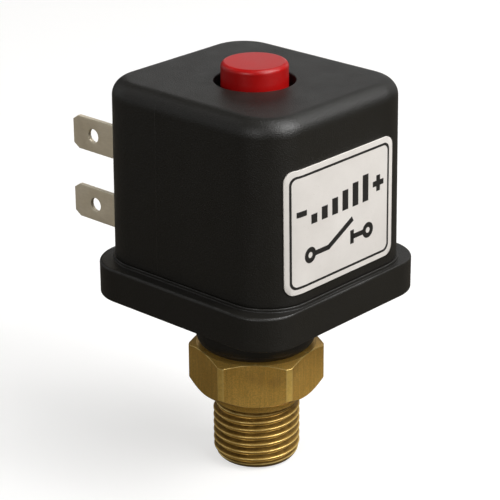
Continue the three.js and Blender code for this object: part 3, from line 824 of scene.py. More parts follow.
# (radius, z, corner radius) from the thread's top round to its foot; None is the hexagon's side
FITTING_ROWS = [
    (UNDERCUT, THREAD_TOP, 0), (UNDERCUT, COLLAR_Z - 0.06, 0.12), (7.76, COLLAR_Z, 0.02),
    (COLLAR, COLLAR_Z + 0.09, 0.03), (COLLAR, HEX_Z0, 0.22), (HEX_FACE, HEX_Z0, 0.05),
    (None, HEX_Z0, 0.14), (None, HEX_Z1, 0.14), (HEX_FACE, HEX_Z1, 0.05),
    (9.75, HEX_Z1, 0), (8.4, HEX_Z1, 0.12), (8.4, SPIGOT_TOP, 0.3), (5.6, SPIGOT_TOP, 0.2),
    (5.6, 26.2, 0.3), (BORE, 24.6, 0.2), (BORE, 3.0, 0.2), (FOOT_HOLE, 2.0, 0.08),
    (FOOT_HOLE, 0.45, 0.05), (0.85, 0.0, 0.05), (6.55, 0.0, 0.0), (6.95, 0.0, 0.0)]


def fitting_line(column):
    """Points of one column above the thread, through the bore and back to the foot."""
    side = hex_radius(column)
    chamfer = max(0.0, side - HEX_INNER) * tan(radians(30))
    rows = []
    for radius, z, corner in FITTING_ROWS:
        if radius is None:
            z = z + chamfer * 1.435 if z == HEX_Z0 else z - chamfer
            rows.append((side, z, corner))
        else:
            rows.append((min(radius, side - 0.002) if radius > 10 else radius, z, corner))
    line = rounded(rows, 3)
    return np.c_[line[:, 0] * cos(column), line[:, 0] * sin(column), line[:, 1]]


def mark_flats(mesh):
    """Point attribute 'flat': 1 on the hexagon's flats."""
    x, y, z = (np.array([vert.co for vert in mesh.vertices]) / MM).T
    angle = (np.arctan2(y, x) - HEX_TURN) % radians(60)
    angle = np.minimum(angle, radians(60) - angle)
    on_side = np.abs(np.hypot(x, y) * np.cos(angle) - HEX_INNER) < 0.03
    on_flat = on_side & (z > HEX_Z0 + 0.02) & (z < HEX_Z1 - 0.02)
    attribute = mesh.attributes.new("flat", "FLOAT", "POINT")
    attribute.data.foreach_set("value", on_flat.astype(np.float32))


shell = Shell()
helix(shell, COLUMNS, 0.0, THREAD_TOP, PITCH, THREAD_KNOTS, thread_radius, lead=LEAD)
fitting_lines = np.array([fitting_line(column) for column in COLUMNS])
shell.rings(list(fitting_lines.swapaxes(0, 1)))
fitting = build("brass_fitting_body", shell, sharp=38)
mark_flats(fitting.data)
place(fitting, "brass_fitting", "fitting_brass")

# ================================================================ neck seal
SEAL_Z0, SEAL_Z1 = (corner[2] for corner in mmbox("neck_seal"))
NECK_R, NECK_FOOT_TOP = 11.1, 25.4


def neck_curve(z):
    """Radius of the rounded foot of the neck."""
    drop = (NECK_FOOT_TOP - min(z, NECK_FOOT_TOP)) / 2.8
    return 9.2 + 1.9 * sqrt(max(0.0, 1 - drop ** 2))


seal_rows = [(8.6, SEAL_Z0, 0.1)]
for z, corner in zip(np.linspace(SEAL_Z0, SEAL_Z1, 8), [0.08] + [0] * 6 + [0.05]):
    seal_rows.append((neck_curve(z), z, corner))
seal_rows.append((8.6, SEAL_Z1, 0.1))
turned("neck_seal", "neck_seal_ring", seal_rows, 140, "seal_rubber", closed=True)

# ================================================================ base flange
flange_low, flange_high = mmbox("base_flange")
FLANGE = (flange_high[0] - flange_low[0], flange_high[1] - flange_low[1], 7.5)
FLANGE_Z0, FLANGE_Z1, PLINTH_Z, TOWER_Z = 33.1, 39.4, 40.0, 46.6
NECK_Z0, RIB_Z = flange_low[2], PLINTH_Z + 0.95
NECK_BORE, TOWER_R, TOWER_BORE, STEP_Z = 8.55, 9.2, 6.9, 28.75

cover_low, cover_high = mmbox("cover")
COVER_Z0, COVER_Z1 = cover_low[2], cover_high[2]
TOP_FILLET, DRAFT, COVER_R = 3.05, 0.3, 8.0
WALL_TOP = COVER_Z1 - TOP_FILLET
COVER_W = cover_high[0] - cover_low[0] - 2 * DRAFT
COVER_L = cover_high[1] - cover_low[1] - 2 * DRAFT
COVER_SCREWS = [centre_of(f"cover_screw_{i}") for i in (1, 2, 3, 4)]


def grown(offset):
    """Width, length and corner radius of the cover's outline moved outwards."""
    return COVER_W + 2 * offset, COVER_L + 2 * offset, COVER_R + offset


# closed section: radius of a circle or size of a rounded rectangle, z, corner radius
FLANGE_ROWS = [
    (NECK_BORE, NECK_Z0, 0.2), (neck_curve(NECK_Z0), NECK_Z0, 0.06),
    (neck_curve(24.2), 24.2, 0), (neck_curve(24.55), 24.55, 0), (neck_curve(24.95), 24.95, 0),
    (NECK_R, NECK_FOOT_TOP, 0), (NECK_R, FLANGE_Z0, 0.9),
    (FLANGE, FLANGE_Z0, 0.32), (FLANGE, FLANGE_Z1, 0.5),
    (grown(0.6), FLANGE_Z1, 0.16), (grown(0.6), PLINTH_Z, 0.14),
    (grown(-2.35), PLINTH_Z, 0), (grown(-2.35), RIB_Z, 0.15),
    (grown(-3.95), RIB_Z, 0.15), (grown(-3.95), PLINTH_Z, 0.15),
    (TOWER_R, PLINTH_Z, 0.4), (TOWER_R, TOWER_Z, 0.3),
    (TOWER_BORE, TOWER_Z, 0.3), (TOWER_BORE, STEP_Z, 0), (NECK_BORE, STEP_Z, 0)]


def section_rings(rows, seg):
    """Closed stack of rings, the section's corners rounded column by column."""
    base = rounded_rect(*FLANGE)
    outlines = [rounded_rect(*size) if isinstance(size, tuple) else circle_like(base, size)
                for size, z, corner in rows]
    columns = []
    for j in range(len(base)):
        line = [(*outline[j], z, corner) for outline, (size, z, corner) in zip(outlines, rows)]
        columns.append(rounded(line, seg, closed=True))
    return list(np.array(columns).swapaxes(0, 1))


shell = Shell()
shell.rings(section_rings(FLANGE_ROWS, 5), loop=True)
flange = build("base_flange_body", shell, normals=False)
cutters = []
for x, y in COVER_SCREWS:
    cutters.append(rod_cutter(2.75, FLANGE_Z0 - 1, FLANGE_Z0 + 2.3, x, y))
    cutters.append(rod_cutter(1.4, FLANGE_Z0, PLINTH_Z + 2, x, y, 24))
for node in ("terminal_block_screw_1", "terminal_block_screw_2", "bracket_screw"):
    cutters.append(rod_cutter(1.12, 36.2, 43, *centre_of(node), 20))
cutters.append(box_cutter(-13, -5.8, -3.4, 3.4, 45.3, 48))       # notch in the tower's -X side
# raised pads on the plinth: x0, x1, y0, y1, height
PADS = [(-14.2, -4.9, 9.0, 16.4, 1.15), (-14.2, -9.9, 4.5, 9.5, 1.15), (9.5, 15.2, -4.0, 6.8, 1.1)]
pads = [box_cutter(*sides, PLINTH_Z - 1, PLINTH_Z + height) for *sides, height in PADS]
flange = boolean(flange, pads, "UNION")
place(boolean(flange, cutters), "base_flange", "housing_black")

# ================================================================ cover
WALL, CEILING = 2.2, COVER_Z1 - 2.6
cap_low, cap_high = mmbox("button_cap")
BUTTON_X, BUTTON_Y = centre_of("button_cap")
BUTTON_R = (cap_high[0] - cap_low[0]) / 2
BUTTON_Z0, BUTTON_Z1 = cap_low[2], cap_high[2]
HOLE_R, HOLE_EDGE = 7.18, 0.22
FOOT_ROUND, INNER_ROUND, REBATE = 0.18, 0.8, 1.3
SEAM_Y = 5.6                             # moulding line on the -X side
SEAM_MARKS = [SEAM_Y + step for step in (-0.34, -0.17, -0.07, 0.0, 0.07, 0.17, 0.34)]
BOSS_R, BOSS_Z0, BOSS_Z1 = 2.7, 41.2, 52.0
BLADE_X, BLADE_H = -12.0, 6.35


def cover_outline(offset):
    return rounded_rect(*grown(offset), 20, 12, SEAM_MARKS)


def outline_at(offset, z, seam=0.0):
    """The cover's outline at a height, the moulding line standing out by seam."""
    points = cover_outline(offset)
    if seam:
        on_side = points[:, 0] < -(COVER_W / 2 + offset) + 1e-6
        near = on_side & (np.abs(points[:, 1] - SEAM_Y) < 0.3)
        points[near, 0] -= seam * np.exp(-((points[near, 1] - SEAM_Y) / 0.085) ** 2)
    return lift(points, z)


def cover_offset(z):
    """Outward offset of the drafted wall at height z, fillet excluded."""
    return DRAFT * (1 - (z - PLINTH_Z) / (WALL_TOP - PLINTH_Z))


def hole_ring(radius, z):
    return lift(circle_like(cover_outline(0), radius, BUTTON_X, BUTTON_Y), z)


def blade_middle(node):
    """Height of a blade's middle."""
    low, high = mmbox(node)
    return low[2] + BLADE_H / 2 if node.endswith("lower") else (low[2] + high[2]) / 2


def cover_rings():
    """From the foot up the outside, through the button's hole and down the inside."""
    rings = []
    for across, along in quarter(4):
        offset = cover_offset(COVER_Z0) - FOOT_ROUND * across
        rings.append(outline_at(offset, COVER_Z0 + FOOT_ROUND * along, 0.02))
    for z in np.linspace(COVER_Z0 + 0.6, WALL_TOP - 0.4, 9):
        rings.append(outline_at(cover_offset(z), z, 0.09))
    rings.append(outline_at(0.0, WALL_TOP - 0.05, 0.075))
    fillet_steps = 16
    for i in range(fillet_steps + 1):
        turn = radians(90 * i / fillet_steps)
        rings.append(outline_at(-TOP_FILLET * (1 - cos(turn)), WALL_TOP + TOP_FILLET * sin(turn),
                                0.06 * max(0.0, 1 - i / 6)))
    top, rim = outline_at(-TOP_FILLET, COVER_Z1), hole_ring(HOLE_R + HOLE_EDGE, COVER_Z1)
    rings += [top * (1 - t) + rim * t for t in (0.03, 0.2, 0.4, 0.6, 0.8)]
    for across, along in quarter(6):
        rings.append(hole_ring(HOLE_R + HOLE_EDGE * across, COVER_Z1 - HOLE_EDGE * along))
    rings.append(hole_ring(HOLE_R, CEILING + 0.15))
    inner_rim = hole_ring(HOLE_R + 0.15, CEILING)
    rings.append(inner_rim)
    inner_top = outline_at(-WALL - INNER_ROUND, CEILING)
    rings += [inner_rim * (1 - t) + inner_top * t for t in (0.5, 0.97)]
    for across, along in quarter(5):
        rings.append(outline_at(-WALL - INNER_ROUND * across, CEILING - INNER_ROUND * along))
    rings += [outline_at(-WALL, z) for z in (62.0, 52.0, 44.0, COVER_Z0 + 1.0)]
    rings.append(outline_at(-REBATE, COVER_Z0 + 1.0))
    rings.append(outline_at(-REBATE, COVER_Z0 + 0.12))
    rings.append(outline_at(-REBATE + 0.12, COVER_Z0))
    return rings


def cover_bosses():
    """Screw bosses, trimmed to stay inside the wall."""
    profile = rounded([(0, BOSS_Z0, 0), (BOSS_R, BOSS_Z0, 0.3), (BOSS_R, BOSS_Z1, 0.3),
                       (0, BOSS_Z1, 0)], 3)
    bosses = [build("boss", lathe_shell(profile, 40, x, y), normals=False)
              for x, y in COVER_SCREWS]
    trim = prism([outline_at(-0.9, 40.5), outline_at(-0.9, 60.0)])
    return [boolean(boss, [build("trim", trim, normals=False)], "INTERSECT") for boss in bosses]


shell = Shell()
shell.rings(cover_rings(), loop=True)
cover = build("cover_shell", shell, normals=False)
cover = boolean(cover, cover_bosses(), "UNION")
cutters = []
for node in ("terminal_blade_upper", "terminal_blade_lower"):
    z = blade_middle(node)
    cutters.append(box_cutter(BLADE_X - 0.55, BLADE_X + 0.55, 17, 24, z - 3.375, z + 3.375))
for x, y in COVER_SCREWS:
    cutters.append(rod_cutter(1.3, 40, 50.5, x, y, 24))
place(boolean(cover, cutters), "cover", "housing_black")

# ================================================================ push button
turned("button_cap", "button_cap_shell", [
    (0, BUTTON_Z1, 0), (BUTTON_R, BUTTON_Z1, 0.85), (BUTTON_R, BUTTON_Z0, 0.2),
    (4.9, BUTTON_Z0, 0.15), (4.9, 74.0, 0.3), (3.4, 74.0, 0.2), (3.4, 68.5, 0.15),
    (2.1, 68.5, 0.15), (2.1, 73.5, 0.2), (0, 73.5, 0)],
    128, "button_red", BUTTON_X, BUTTON_Y, seg=8)
GUIDE_Z0, GUIDE_Z1 = (corner[2] for corner in mmbox("button_guide"))
turned("button_guide", "button_guide_sleeve", [
    (2.15, GUIDE_Z0, 0.15), (7.6, GUIDE_Z0, 0.3), (7.6, 69.0, 0.3), (9.2, 69.0, 0.15),
    (9.2, GUIDE_Z1, 0.15), (6.05, GUIDE_Z1, 0.25), (6.05, 62.2, 0.2), (2.15, 62.2, 0.15)],
    112, "housing_black", BUTTON_X, BUTTON_Y, closed=True)
STEM_Z0, STEM_Z1 = (corner[2] for corner in mmbox("button_stem"))
turned("button_stem", "button_stem_rod", [
    (0, STEM_Z0, 0), (1.4, STEM_Z0, 0.2), (2.0, STEM_Z0 + 0.6, 0.2), (2.0, 60.0, 0.06),
    (1.45, 60.0, 0.06), (1.45, 60.7, 0.06), (2.0, 60.7, 0.06), (2.0, STEM_Z1, 0.25),
    (0, STEM_Z1, 0)],
    64, "stem_plastic", BUTTON_X, BUTTON_Y)


# ================================================================ blade terminals
def offset_poly(points, inset):
    """Moves a counter-clockwise polygon inwards."""
    points = np.array(points, float)
    out = []
    for i, point in enumerate(points):
        before, after = point - points[i - 1], points[(i + 1) % len(points)] - point
        before, after = before / norm(before), after / norm(after)
        inward_before = np.array([-before[1], before[0]])
        inward_after = np.array([-after[1], after[0]])
        reach = (inward_before + inward_after) * inset / (1 + inward_before @ inward_after)
        out.append(point + reach)
    return np.array(out)


def plate_yz(name, poly, x0, x1, edge, hole=None, step=0.6):
    """A flat plate in the YZ plane with rounded edges.

    poly is counter-clockwise in (y, z); hole is (y, z, radius).
    """
    counts = [max(2, int(round(norm(np.array(poly[(i + 1) % len(poly)]) - poly[i]) / step)))
              for i in range(len(poly))]

    def ring(inset, x):
        corners = offset_poly(poly, inset)
        points = []
        for i, count in enumerate(counts):
            start, end = corners[i], corners[(i + 1) % len(corners)]
            points += [start + (end - start) * k / count for k in range(count)]
        return np.c_[np.full(len(points), x), np.array(points)]

    turns = quarter(3)
    rings = [ring(edge * across, x1 - edge * along) for across, along in turns]
    rings += [ring(edge * along, x0 + edge * across) for across, along in turns]
    if hole is None:
        return build(name, prism(rings), normals=False)
    y, z, radius = hole
    base = ring(0, 0)[:, 1:]
    lip = edge * 0.8

    def round_hole(inset, x):
        points = circle_like(base, radius + inset, y, z)
        return np.c_[np.full(len(points), x), points]

    rings.append(rings[-1] * 0.5 + round_hole(lip, x0) * 0.5)
    rings += [round_hole(lip * across, x0 + lip * along) for across, along in turns]
    rings += [round_hole(lip * along, x1 - lip * across) for across, along in turns]
    rings.append(rings[0] * 0.5 + rings[-1] * 0.5)
    shell = Shell()
    shell.rings(rings, loop=True)
    return build(name, shell, normals=False)


def blade(node):
    """Tab outside the cover with a thinner root; the lower one also has a level foot."""
    low, high = mmbox(node)
    lower = node.endswith("lower")
    middle = blade_middle(node)
    bottom, top = middle - BLADE_H / 2, middle + BLADE_H / 2
    start, tip, root_end, foot_y, foot_z = low[1], high[1], 22.0, 8.8, 46.4
    tab_outline = [(21.5, bottom), (tip - 1.35, bottom), (tip, bottom + 0.9),
                   (tip, top - 0.9), (tip - 1.35, top), (21.5, top)]
    tab = plate_yz(node + "_tab", tab_outline, BLADE_X - 0.4, BLADE_X + 0.4, 0.11,
                   hole=(28.35, middle, 1.3), step=0.45)
    if lower:
        root_outline = [(foot_y, bottom), (root_end, bottom), (root_end, top), (start, top),
                        (start, foot_z), (foot_y, foot_z)]
    else:
        root_outline = [(start, bottom), (root_end, bottom), (root_end, top), (start, top)]
    parts = [plate_yz(node + "_root", root_outline, BLADE_X - 0.35, BLADE_X + 0.35, 0.06)]
    if lower:
        parts.append(box_cutter(BLADE_X - 0.35, -6.4, -3.0, 3.0, foot_z, 47.2))
    plate = boolean(tab, parts, "UNION")
    if lower:
        plate = boolean(plate, [rod_cutter(0.9, 45, 48.2, CONTACT_X, 0, 32)])
    plate.name = node + "_plate"
    bevel(plate, 0.05, 40)
    place(plate, node, "terminal_tin")


CONTACT_X = -9.0
blade("terminal_blade_upper")
blade("terminal_blade_lower")

# ================================================================ label
label_low, label_high = mmbox("label_plate")
LABEL_Z0, LABEL_Z1 = label_low[2], label_high[2]
LABEL_GAP, LABEL_T, LABEL_R = 0.05, 0.22, 1.9
LABEL_FACE = LABEL_GAP + LABEL_T


def wrap(u, v, height):
    """The point at u along the surface from the -Y side's middle, z = v, height off the skin."""
    offset = cover_offset(v)
    half_w, half_l, radius = COVER_W / 2 + offset, COVER_L / 2 + offset, COVER_R + offset
    flat = half_w - radius
    if abs(u) <= flat:
        return (u, -half_l - height, v)
    turn = (abs(u) - flat) / radius
    side, reach = (1 if u > 0 else -1), radius + height
    return (side * (flat + reach * sin(turn)), -(half_l - radius) - reach * cos(turn), v)


def along_skin(x, v):
    """The u that belongs to x."""
    offset = cover_offset(v)
    radius = COVER_R + offset
    flat = COVER_W / 2 + offset - radius
    if abs(x) <= flat:
        return x
    return copysign(flat + radius * asin(min(1, (abs(x) - flat) / radius)), x)


LABEL_U0, LABEL_U1 = along_skin(label_low[0] + 0.08, 53.0), along_skin(label_high[0], 53.0)


def label_grid(inset, height, columns=56, rows=14):
    """Columns of points over the label's rounded face."""
    u0, u1 = LABEL_U0 + inset, LABEL_U1 - inset
    v0, v1, radius = LABEL_Z0 + inset, LABEL_Z1 - inset, LABEL_R - inset
    steps = [radius * (1 - cos(radians(90 * i / 9))) for i in range(9)]
    places = [u0 + step for step in steps]
    places += list(np.linspace(u0 + radius, u1 - radius, columns))
    places += [u1 - step for step in steps[::-1]]
    grid = []
    for u in places:
        depth = min(u - u0, u1 - u)
        drop = 0.0
        if depth < radius:
            drop = radius - sqrt(max(0.0, radius * radius - (radius - depth) ** 2))
        grid.append([wrap(u, v, height) for v in np.linspace(v0 + drop, v1 - drop, rows)])
    return np.array(grid)


def border(grid):
    return np.concatenate([grid[:, 0], grid[-1, 1:], grid[-2::-1, -1], grid[0, -2:0:-1]])


shell = Shell()
for grid in (label_grid(0.06, LABEL_FACE), label_grid(0.0, LABEL_GAP)):
    start = shell.add(grid)
    columns, rows = grid.shape[:2]
    for i in range(columns - 1):
        for j in range(rows - 1):
            a, b = start + i * rows + j, start + (i + 1) * rows + j
            shell.faces.append((a, b, b + 1, a + 1))
shell.rings([border(label_grid(inset, height)) for inset, height in (
    (0.06, LABEL_FACE), (0.02, LABEL_FACE - 0.02), (0.0, LABEL_FACE - 0.07), (0.0, LABEL_GAP))])
place(build("label_film", shell, sharp=50), "label_plate", "label_white")

# ================================================================ printed marks, in (u, v)
INK_LOW, INK_HIGH = LABEL_FACE - 0.02, LABEL_FACE + 0.025
marks = Shell()


def strip(first, second, loop=False):
    """A printed stroke between two lines of equal length in label coordinates."""
    n = len(first)
    sides = ((first, INK_HIGH), (second, INK_HIGH), (second, INK_LOW), (first, INK_LOW))
    start = marks.add([wrap(u, v, height) for line, height in sides for u, v in line])
    for i in range(n if loop else n - 1):
        j = (i + 1) % n
        for side in range(4):
            a, b = start + side * n, start + ((side + 1) % 4) * n
            marks.faces.append((a + i, a + j, b + j, b + i))
    if not loop:
        marks.faces.append(tuple(start + side * n for side in range(4)))
        marks.faces.append(tuple(start + side * n - 1 for side in (1, 4, 3, 2)))


def samples(length):
    return max(2, int(length / 0.4) + 2)


def bar(u0, u1, v0, v1):
    places = np.linspace(u0, u1, samples(u1 - u0))
    strip([(u, v0) for u in places], [(u, v1) for u in places])


def stroke(start, end, width):
    start, end = np.array(start, float), np.array(end, float)
    along = (end - start) / norm(end - start)
    side = np.array([-along[1], along[0]]) * width / 2
    steps = np.linspace(0, 1, samples(norm(end - start)))
    strip([tuple(start + (end - start) * t - side) for t in steps],
          [tuple(start + (end - start) * t + side) for t in steps])


def ring_mark(u, v, radius=0.98, width=0.9, n=48):
    inner, outer = [[(u + size * cos(turn), v + size * sin(turn)) for turn in angles(n)]
                    for size in (radius - width / 2, radius + width / 2)]
    strip(inner, outer, loop=True)


def frame_loop(inset):
    """Rounded outline inside the label's edge."""
    radius = max(LABEL_R - inset * 0.55, 0.4)
    left, right = LABEL_U0 + inset + radius, LABEL_U1 - inset - radius
    low, high = LABEL_Z0 + inset + radius, LABEL_Z1 - inset - radius
    side_ends = ((left, high + radius), (left - radius, low),
                 (right, low - radius), (right + radius, high))
    points = []
    for k, (u, v) in enumerate(((right, high), (left, high), (left, low), (right, low))):
        turns = [radians(90 * k + 90 * i / 8) for i in range(9)]
        points += [(u + radius * cos(turn), v + radius * sin(turn)) for turn in turns]
        count = 40 if k % 2 == 0 else 24
        (u0, v0), (u1, v1) = points[-1], side_ends[k]
        points += [(u0 + (u1 - u0) * i / count, v0 + (v1 - v0) * i / count)
                   for i in range(1, count)]
    return points


FRAME_INSET, FRAME_WIDTH = 1.2, 0.42
strip(frame_loop(FRAME_INSET + FRAME_WIDTH / 2), frame_loop(FRAME_INSET - FRAME_WIDTH / 2),
      loop=True)
# upper row: six rising bars between a minus and a plus sign
ROW_U0, ROW_U1, ROW_V0, ROW_V1 = -12.95, 9.65, 53.85, 58.75
row_middle = (ROW_V0 + ROW_V1) / 2
bar(ROW_U0, ROW_U0 + 2.3, row_middle - 0.5, row_middle + 0.5)
bar(ROW_U1 - 2.9, ROW_U1, row_middle - 0.5, row_middle + 0.5)
bar(ROW_U1 - 1.95, ROW_U1 - 0.95, row_middle + 0.49, row_middle + 1.45)
bar(ROW_U1 - 1.95, ROW_U1 - 0.95, row_middle - 1.45, row_middle - 0.49)
BARS = 6
for i in range(BARS):
    u = ROW_U0 + 3.55 + i * (ROW_U1 - 4.2 - ROW_U0 - 3.55 - 1.35) / (BARS - 1)
    bar(u - 0.1, u + 1.42, ROW_V0, ROW_V0 + (ROW_V1 - ROW_V0) * (0.34 + 0.66 * i / (BARS - 1)))
# lower row: the symbol of a switching contact
SYMBOL_V = 48.35
ring_mark(-9.75, SYMBOL_V)
stroke((-8.45, SYMBOL_V), (-4.9, SYMBOL_V), 0.92)
stroke((-5.2, SYMBOL_V - 0.1), (1.35, SYMBOL_V + 3.35), 0.98)
stroke((1.2, SYMBOL_V), (4.15, SYMBOL_V), 0.92)
bar(0.72, 1.66, SYMBOL_V - 1.25, SYMBOL_V + 1.25)
ring_mark(5.45, SYMBOL_V)
ink = build("label_print", marks, sharp=50, normals=False)
ink.data.materials.append(INK)
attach(ink, BODY_OF["label_plate"])

# ================================================================ springs
# node, name, centre, coil radius, wire radius, turns,
# joint that squeezes it, length kept, whether its top end stays put
SPRINGS = [
    ("button_spring", "button_return_spring", (BUTTON_X, BUTTON_Y), 4.2, 0.38, 5.5,
     "button_press", 0.795, False),
    ("range_spring", "range_coil_spring", (0.0, 0.0), 5.15, 0.6, 4.5,
     "push_rod_slide", 0.90, True),
    ("contact_spring", "contact_coil_spring", (-5.4, 0.0), 1.5, 0.2, 5,
     "contact_lever_swing", 0.62, True)]
for node, name, centre, radius, wire, turns, joint, keep, top in SPRINGS:
    low, high = mmbox(node)
    spring = sweep(name, coil(*centre, radius, low[2] + wire, high[2] - wire, turns), wire)
    place(spring, node, "spring_steel")
    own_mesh(spring)

# ================================================================ pressure capsule and adjuster
disc_low, disc_high = mmbox("diaphragm")
DISC_R, DISC_Z0, DISC_Z1 = disc_high[0], disc_low[2], disc_high[2]
turned("diaphragm", "diaphragm_disc", [
    (0, DISC_Z0, 0), (4.9, DISC_Z0, 0.2), (5.4, DISC_Z0 + 0.16, 0.3), (5.9, DISC_Z0, 0.2),
    (DISC_R, DISC_Z0, 0.1), (DISC_R, DISC_Z1, 0.1), (7.35, DISC_Z1, 0.2),
    (6.95, DISC_Z1 - 0.14, 0.3), (6.55, DISC_Z1, 0.2), (0, DISC_Z1, 0)], 96)
turned("piston_pad", "piston_pad_disc", [
    (0, 28.85, 0), (6.4, 28.85, 0.35), (6.4, 31.2, 0.2), (3.9, 31.2, 0.25),
    (3.9, 33.0, 0.2), (2.05, 33.0, 0.12), (2.05, 30.0, 0.1), (0, 30.0, 0)], 96)
turned("push_rod", "push_rod_pin", [
    (0, 30.05, 0), (1.98, 30.05, 0.25), (1.98, 48.45, 0.6), (0, 49.45, 0)], 56, seg=6)
turned("range_seat", "range_seat_washer", [
    (2.4, 41.45, 0.15), (6.6, 41.45, 0.25), (6.6, 42.5, 0.1), (2.4, 42.5, 0.1)], 96, closed=True)

nut_low, nut_high = mmbox("adjusting_ring")
NUT_R, NUT_Z0, NUT_Z1 = nut_high[0], nut_low[2], nut_high[2]
NUT_SKIN, NUT_BORE, NUT_CHAMFER = NUT_R - 0.02, 2.6, 0.3
NUT_THREAD_Z0, NUT_THREAD_Z1 = NUT_Z0 + NUT_CHAMFER, NUT_Z1 - NUT_CHAMFER


def nut_radius(z, phase):
    groove = min(1.0, max(0.0, min(phase, 1 - phase) * 2.6 - 0.2))
    fade = min(1.0, min(z - NUT_THREAD_Z0, NUT_THREAD_Z1 - z) / 0.25)
    return NUT_SKIN - 0.22 * groove * fade


shell = Shell()
helix(shell, angles(72), NUT_THREAD_Z0, NUT_THREAD_Z1, 0.6,
      [0.0, 0.08, 0.16, 0.3, 0.5, 0.7, 0.84, 0.92], nut_radius)
nut_profile = rounded([
    (NUT_SKIN, NUT_THREAD_Z1, 0), (NUT_R - NUT_CHAMFER, NUT_Z1, 0.05), (NUT_BORE, NUT_Z1, 0.2),
    (NUT_BORE, NUT_Z0, 0.2), (NUT_R - NUT_CHAMFER, NUT_Z0, 0.05), (NUT_SKIN, NUT_THREAD_Z0, 0)], 3)
shell.rings([circle(radius, 72, z=z) for radius, z in nut_profile])
nut = build("adjusting_ring_nut", shell)
slots = [box_cutter(-8, 8, -0.8, 0.8, 44.2, 47), box_cutter(-0.8, 0.8, -8, 8, 44.2, 47)]
place(boolean(nut, slots), "adjusting_ring")

# ================================================================ contacts, lever pin, lead
turned("fixed_contact", "fixed_contact_rivet", [
    (0, 45.75, 0), (1.25, 45.75, 0.2), (1.25, 46.35, 0.1), (0.8, 46.35, 0.04),
    (0.8, 47.25, 0.04), (1.6, 47.25, 0.1), (1.6, 47.85, 0.5), (0, 48.35, 0)], 56, x=CONTACT_X)
turned("moving_contact", "moving_contact_rivet", [
    (0, 48.45, 0), (1.6, 48.9, 0.45), (1.6, 49.6, 0.1), (0.78, 49.6, 0.04),
    (0.78, 50.4, 0.04), (1.2, 50.4, 0.1), (1.2, 50.9, 0.2), (0, 50.9, 0)], 56, x=CONTACT_X)

PIN_X, PIN_Z = 10.9, 50.0                # the pin lies along Y, its head towards -Y
pin = lathe_shell(rounded([(0, -4.3, 0), (0.8, -4.3, 0.25), (0.8, 4.0, 0.04),
                           (1.3, 4.0, 0.1), (1.3, 4.5, 0.2), (0, 4.5, 0)]), 48)
pin.transform(lambda part: np.c_[part[:, 0] + PIN_X, -part[:, 2], part[:, 1] + PIN_Z])
place(build("pivot_pin_rod", pin), "pivot_pin")

# x, y, z of the lead's centre line
LEAD_POINTS = [(-10.8, 7.5, 59.2), (-8.0, 8.3, 59.6), (-6.0, 10.8, 60.2),
               (-1.0, 12.2, 59.6), (5.0, 11.8, 57.0), (10.0, 9.6, 51.0),
               (13.2, 6.6, 46.0), (13.9, 5.3, 43.4), (13.9, 5.2, 42.1)]
place(sweep("link_wire_lead", through(LEAD_POINTS), 0.6, 20), "link_wire")


# ================================================================ screws
def recess_cutter(length, width, z0, z1):
    """Four-sided, narrower at z1."""
    rings = []
    for x, y, z in ((length / 2, width / 2, z0), (length * 0.5 / 2, width * 0.75 / 2, z1)):
        rings.append([(-x, -y, z), (x, -y, z), (x, y, z), (-x, y, z)])
    return prism(rings)


def screw(node, plane, head_r, head_h, shank_r, length, up, turn):
    """A pan-head tapping screw with a cross recess.

    plane: height of the head's bearing face; up: the shank points up; turn: degrees.
    """
    x, y = centre_of(node)
    n = 36
    crest, root = shank_r + 0.07, shank_r - 0.24
    thread_start, thread_end = 0.5, length - 1.1

    def skin(z, phase):
        away = min(phase, 1 - phase)
        form = 1.0 if away < 0.05 else max(0.0, 1 - (away - 0.05) / 0.2)
        fade = min(1.0, (z - thread_start) / 0.4, (thread_end - z) / 0.4)
        return root + (crest - root) * form * fade

    angle = radians(turn)

    def move(part):
        across = part[:, 0] * cos(angle) - part[:, 1] * sin(angle)
        along = part[:, 0] * sin(angle) + part[:, 1] * cos(angle)
        if up:
            return np.c_[across + x, along + y, part[:, 2] + plane]
        return np.c_[across + x, y - along, plane - part[:, 2]]

    tip = rounded([(root, thread_end, 0), (root * 0.96, length - 0.75, 0.1),
                   (0.28, length - 0.04, 0.1), (0, length, 0)], 3)
    head = rounded([
        (root, thread_start, 0), (shank_r - 0.02, 0.3, 0.05), (shank_r - 0.02, 0, 0.06),
        (head_r, 0, 0.12), (head_r, -head_h * 0.6, 0.25), (head_r * 0.78, -head_h, 0.3),
        (0, -head_h, 0)], 4)
    shell = Shell()
    helix(shell, angles(n), thread_start, thread_end, 0.85,
          [0.0, 0.05, 0.12, 0.25, 0.42, 0.58, 0.75, 0.88, 0.95], skin)
    for profile in (tip, head):
        shell.rings([circle(radius, n, z=z) for radius, z in profile])
    shell.transform(move)
    body = build(node + "_fastener", shell)
    recess = []
    for crosswise in (False, True):
        cutter = recess_cutter(head_r * 1.24, 0.52, -head_h - 0.3, -head_h + 0.95)
        if crosswise:
            cutter.transform(lambda part: np.c_[-part[:, 1], part[:, 0], part[:, 2]])
        cutter.transform(move)
        recess.append(build("cutter", cutter, normals=False))
    place(boolean(body, recess), node)


for i, turn in ((1, 12), (2, 71), (3, 38), (4, 55)):
    screw(f"cover_screw_{i}", plane=FLANGE_Z0 + 2.25, head_r=2.2, head_h=1.9, shank_r=1.2,
          length=14.15, up=True, turn=turn)
for i, turn in ((1, 20), (2, 64)):
    screw(f"terminal_block_screw_{i}", plane=43.45, head_r=1.8, head_h=1.3, shank_r=1.0,
          length=6.85, up=False, turn=turn)
screw("bracket_screw", plane=42.0, head_r=1.6, head_h=1.2, shank_r=1.0,
      length=5.4, up=False, turn=33)

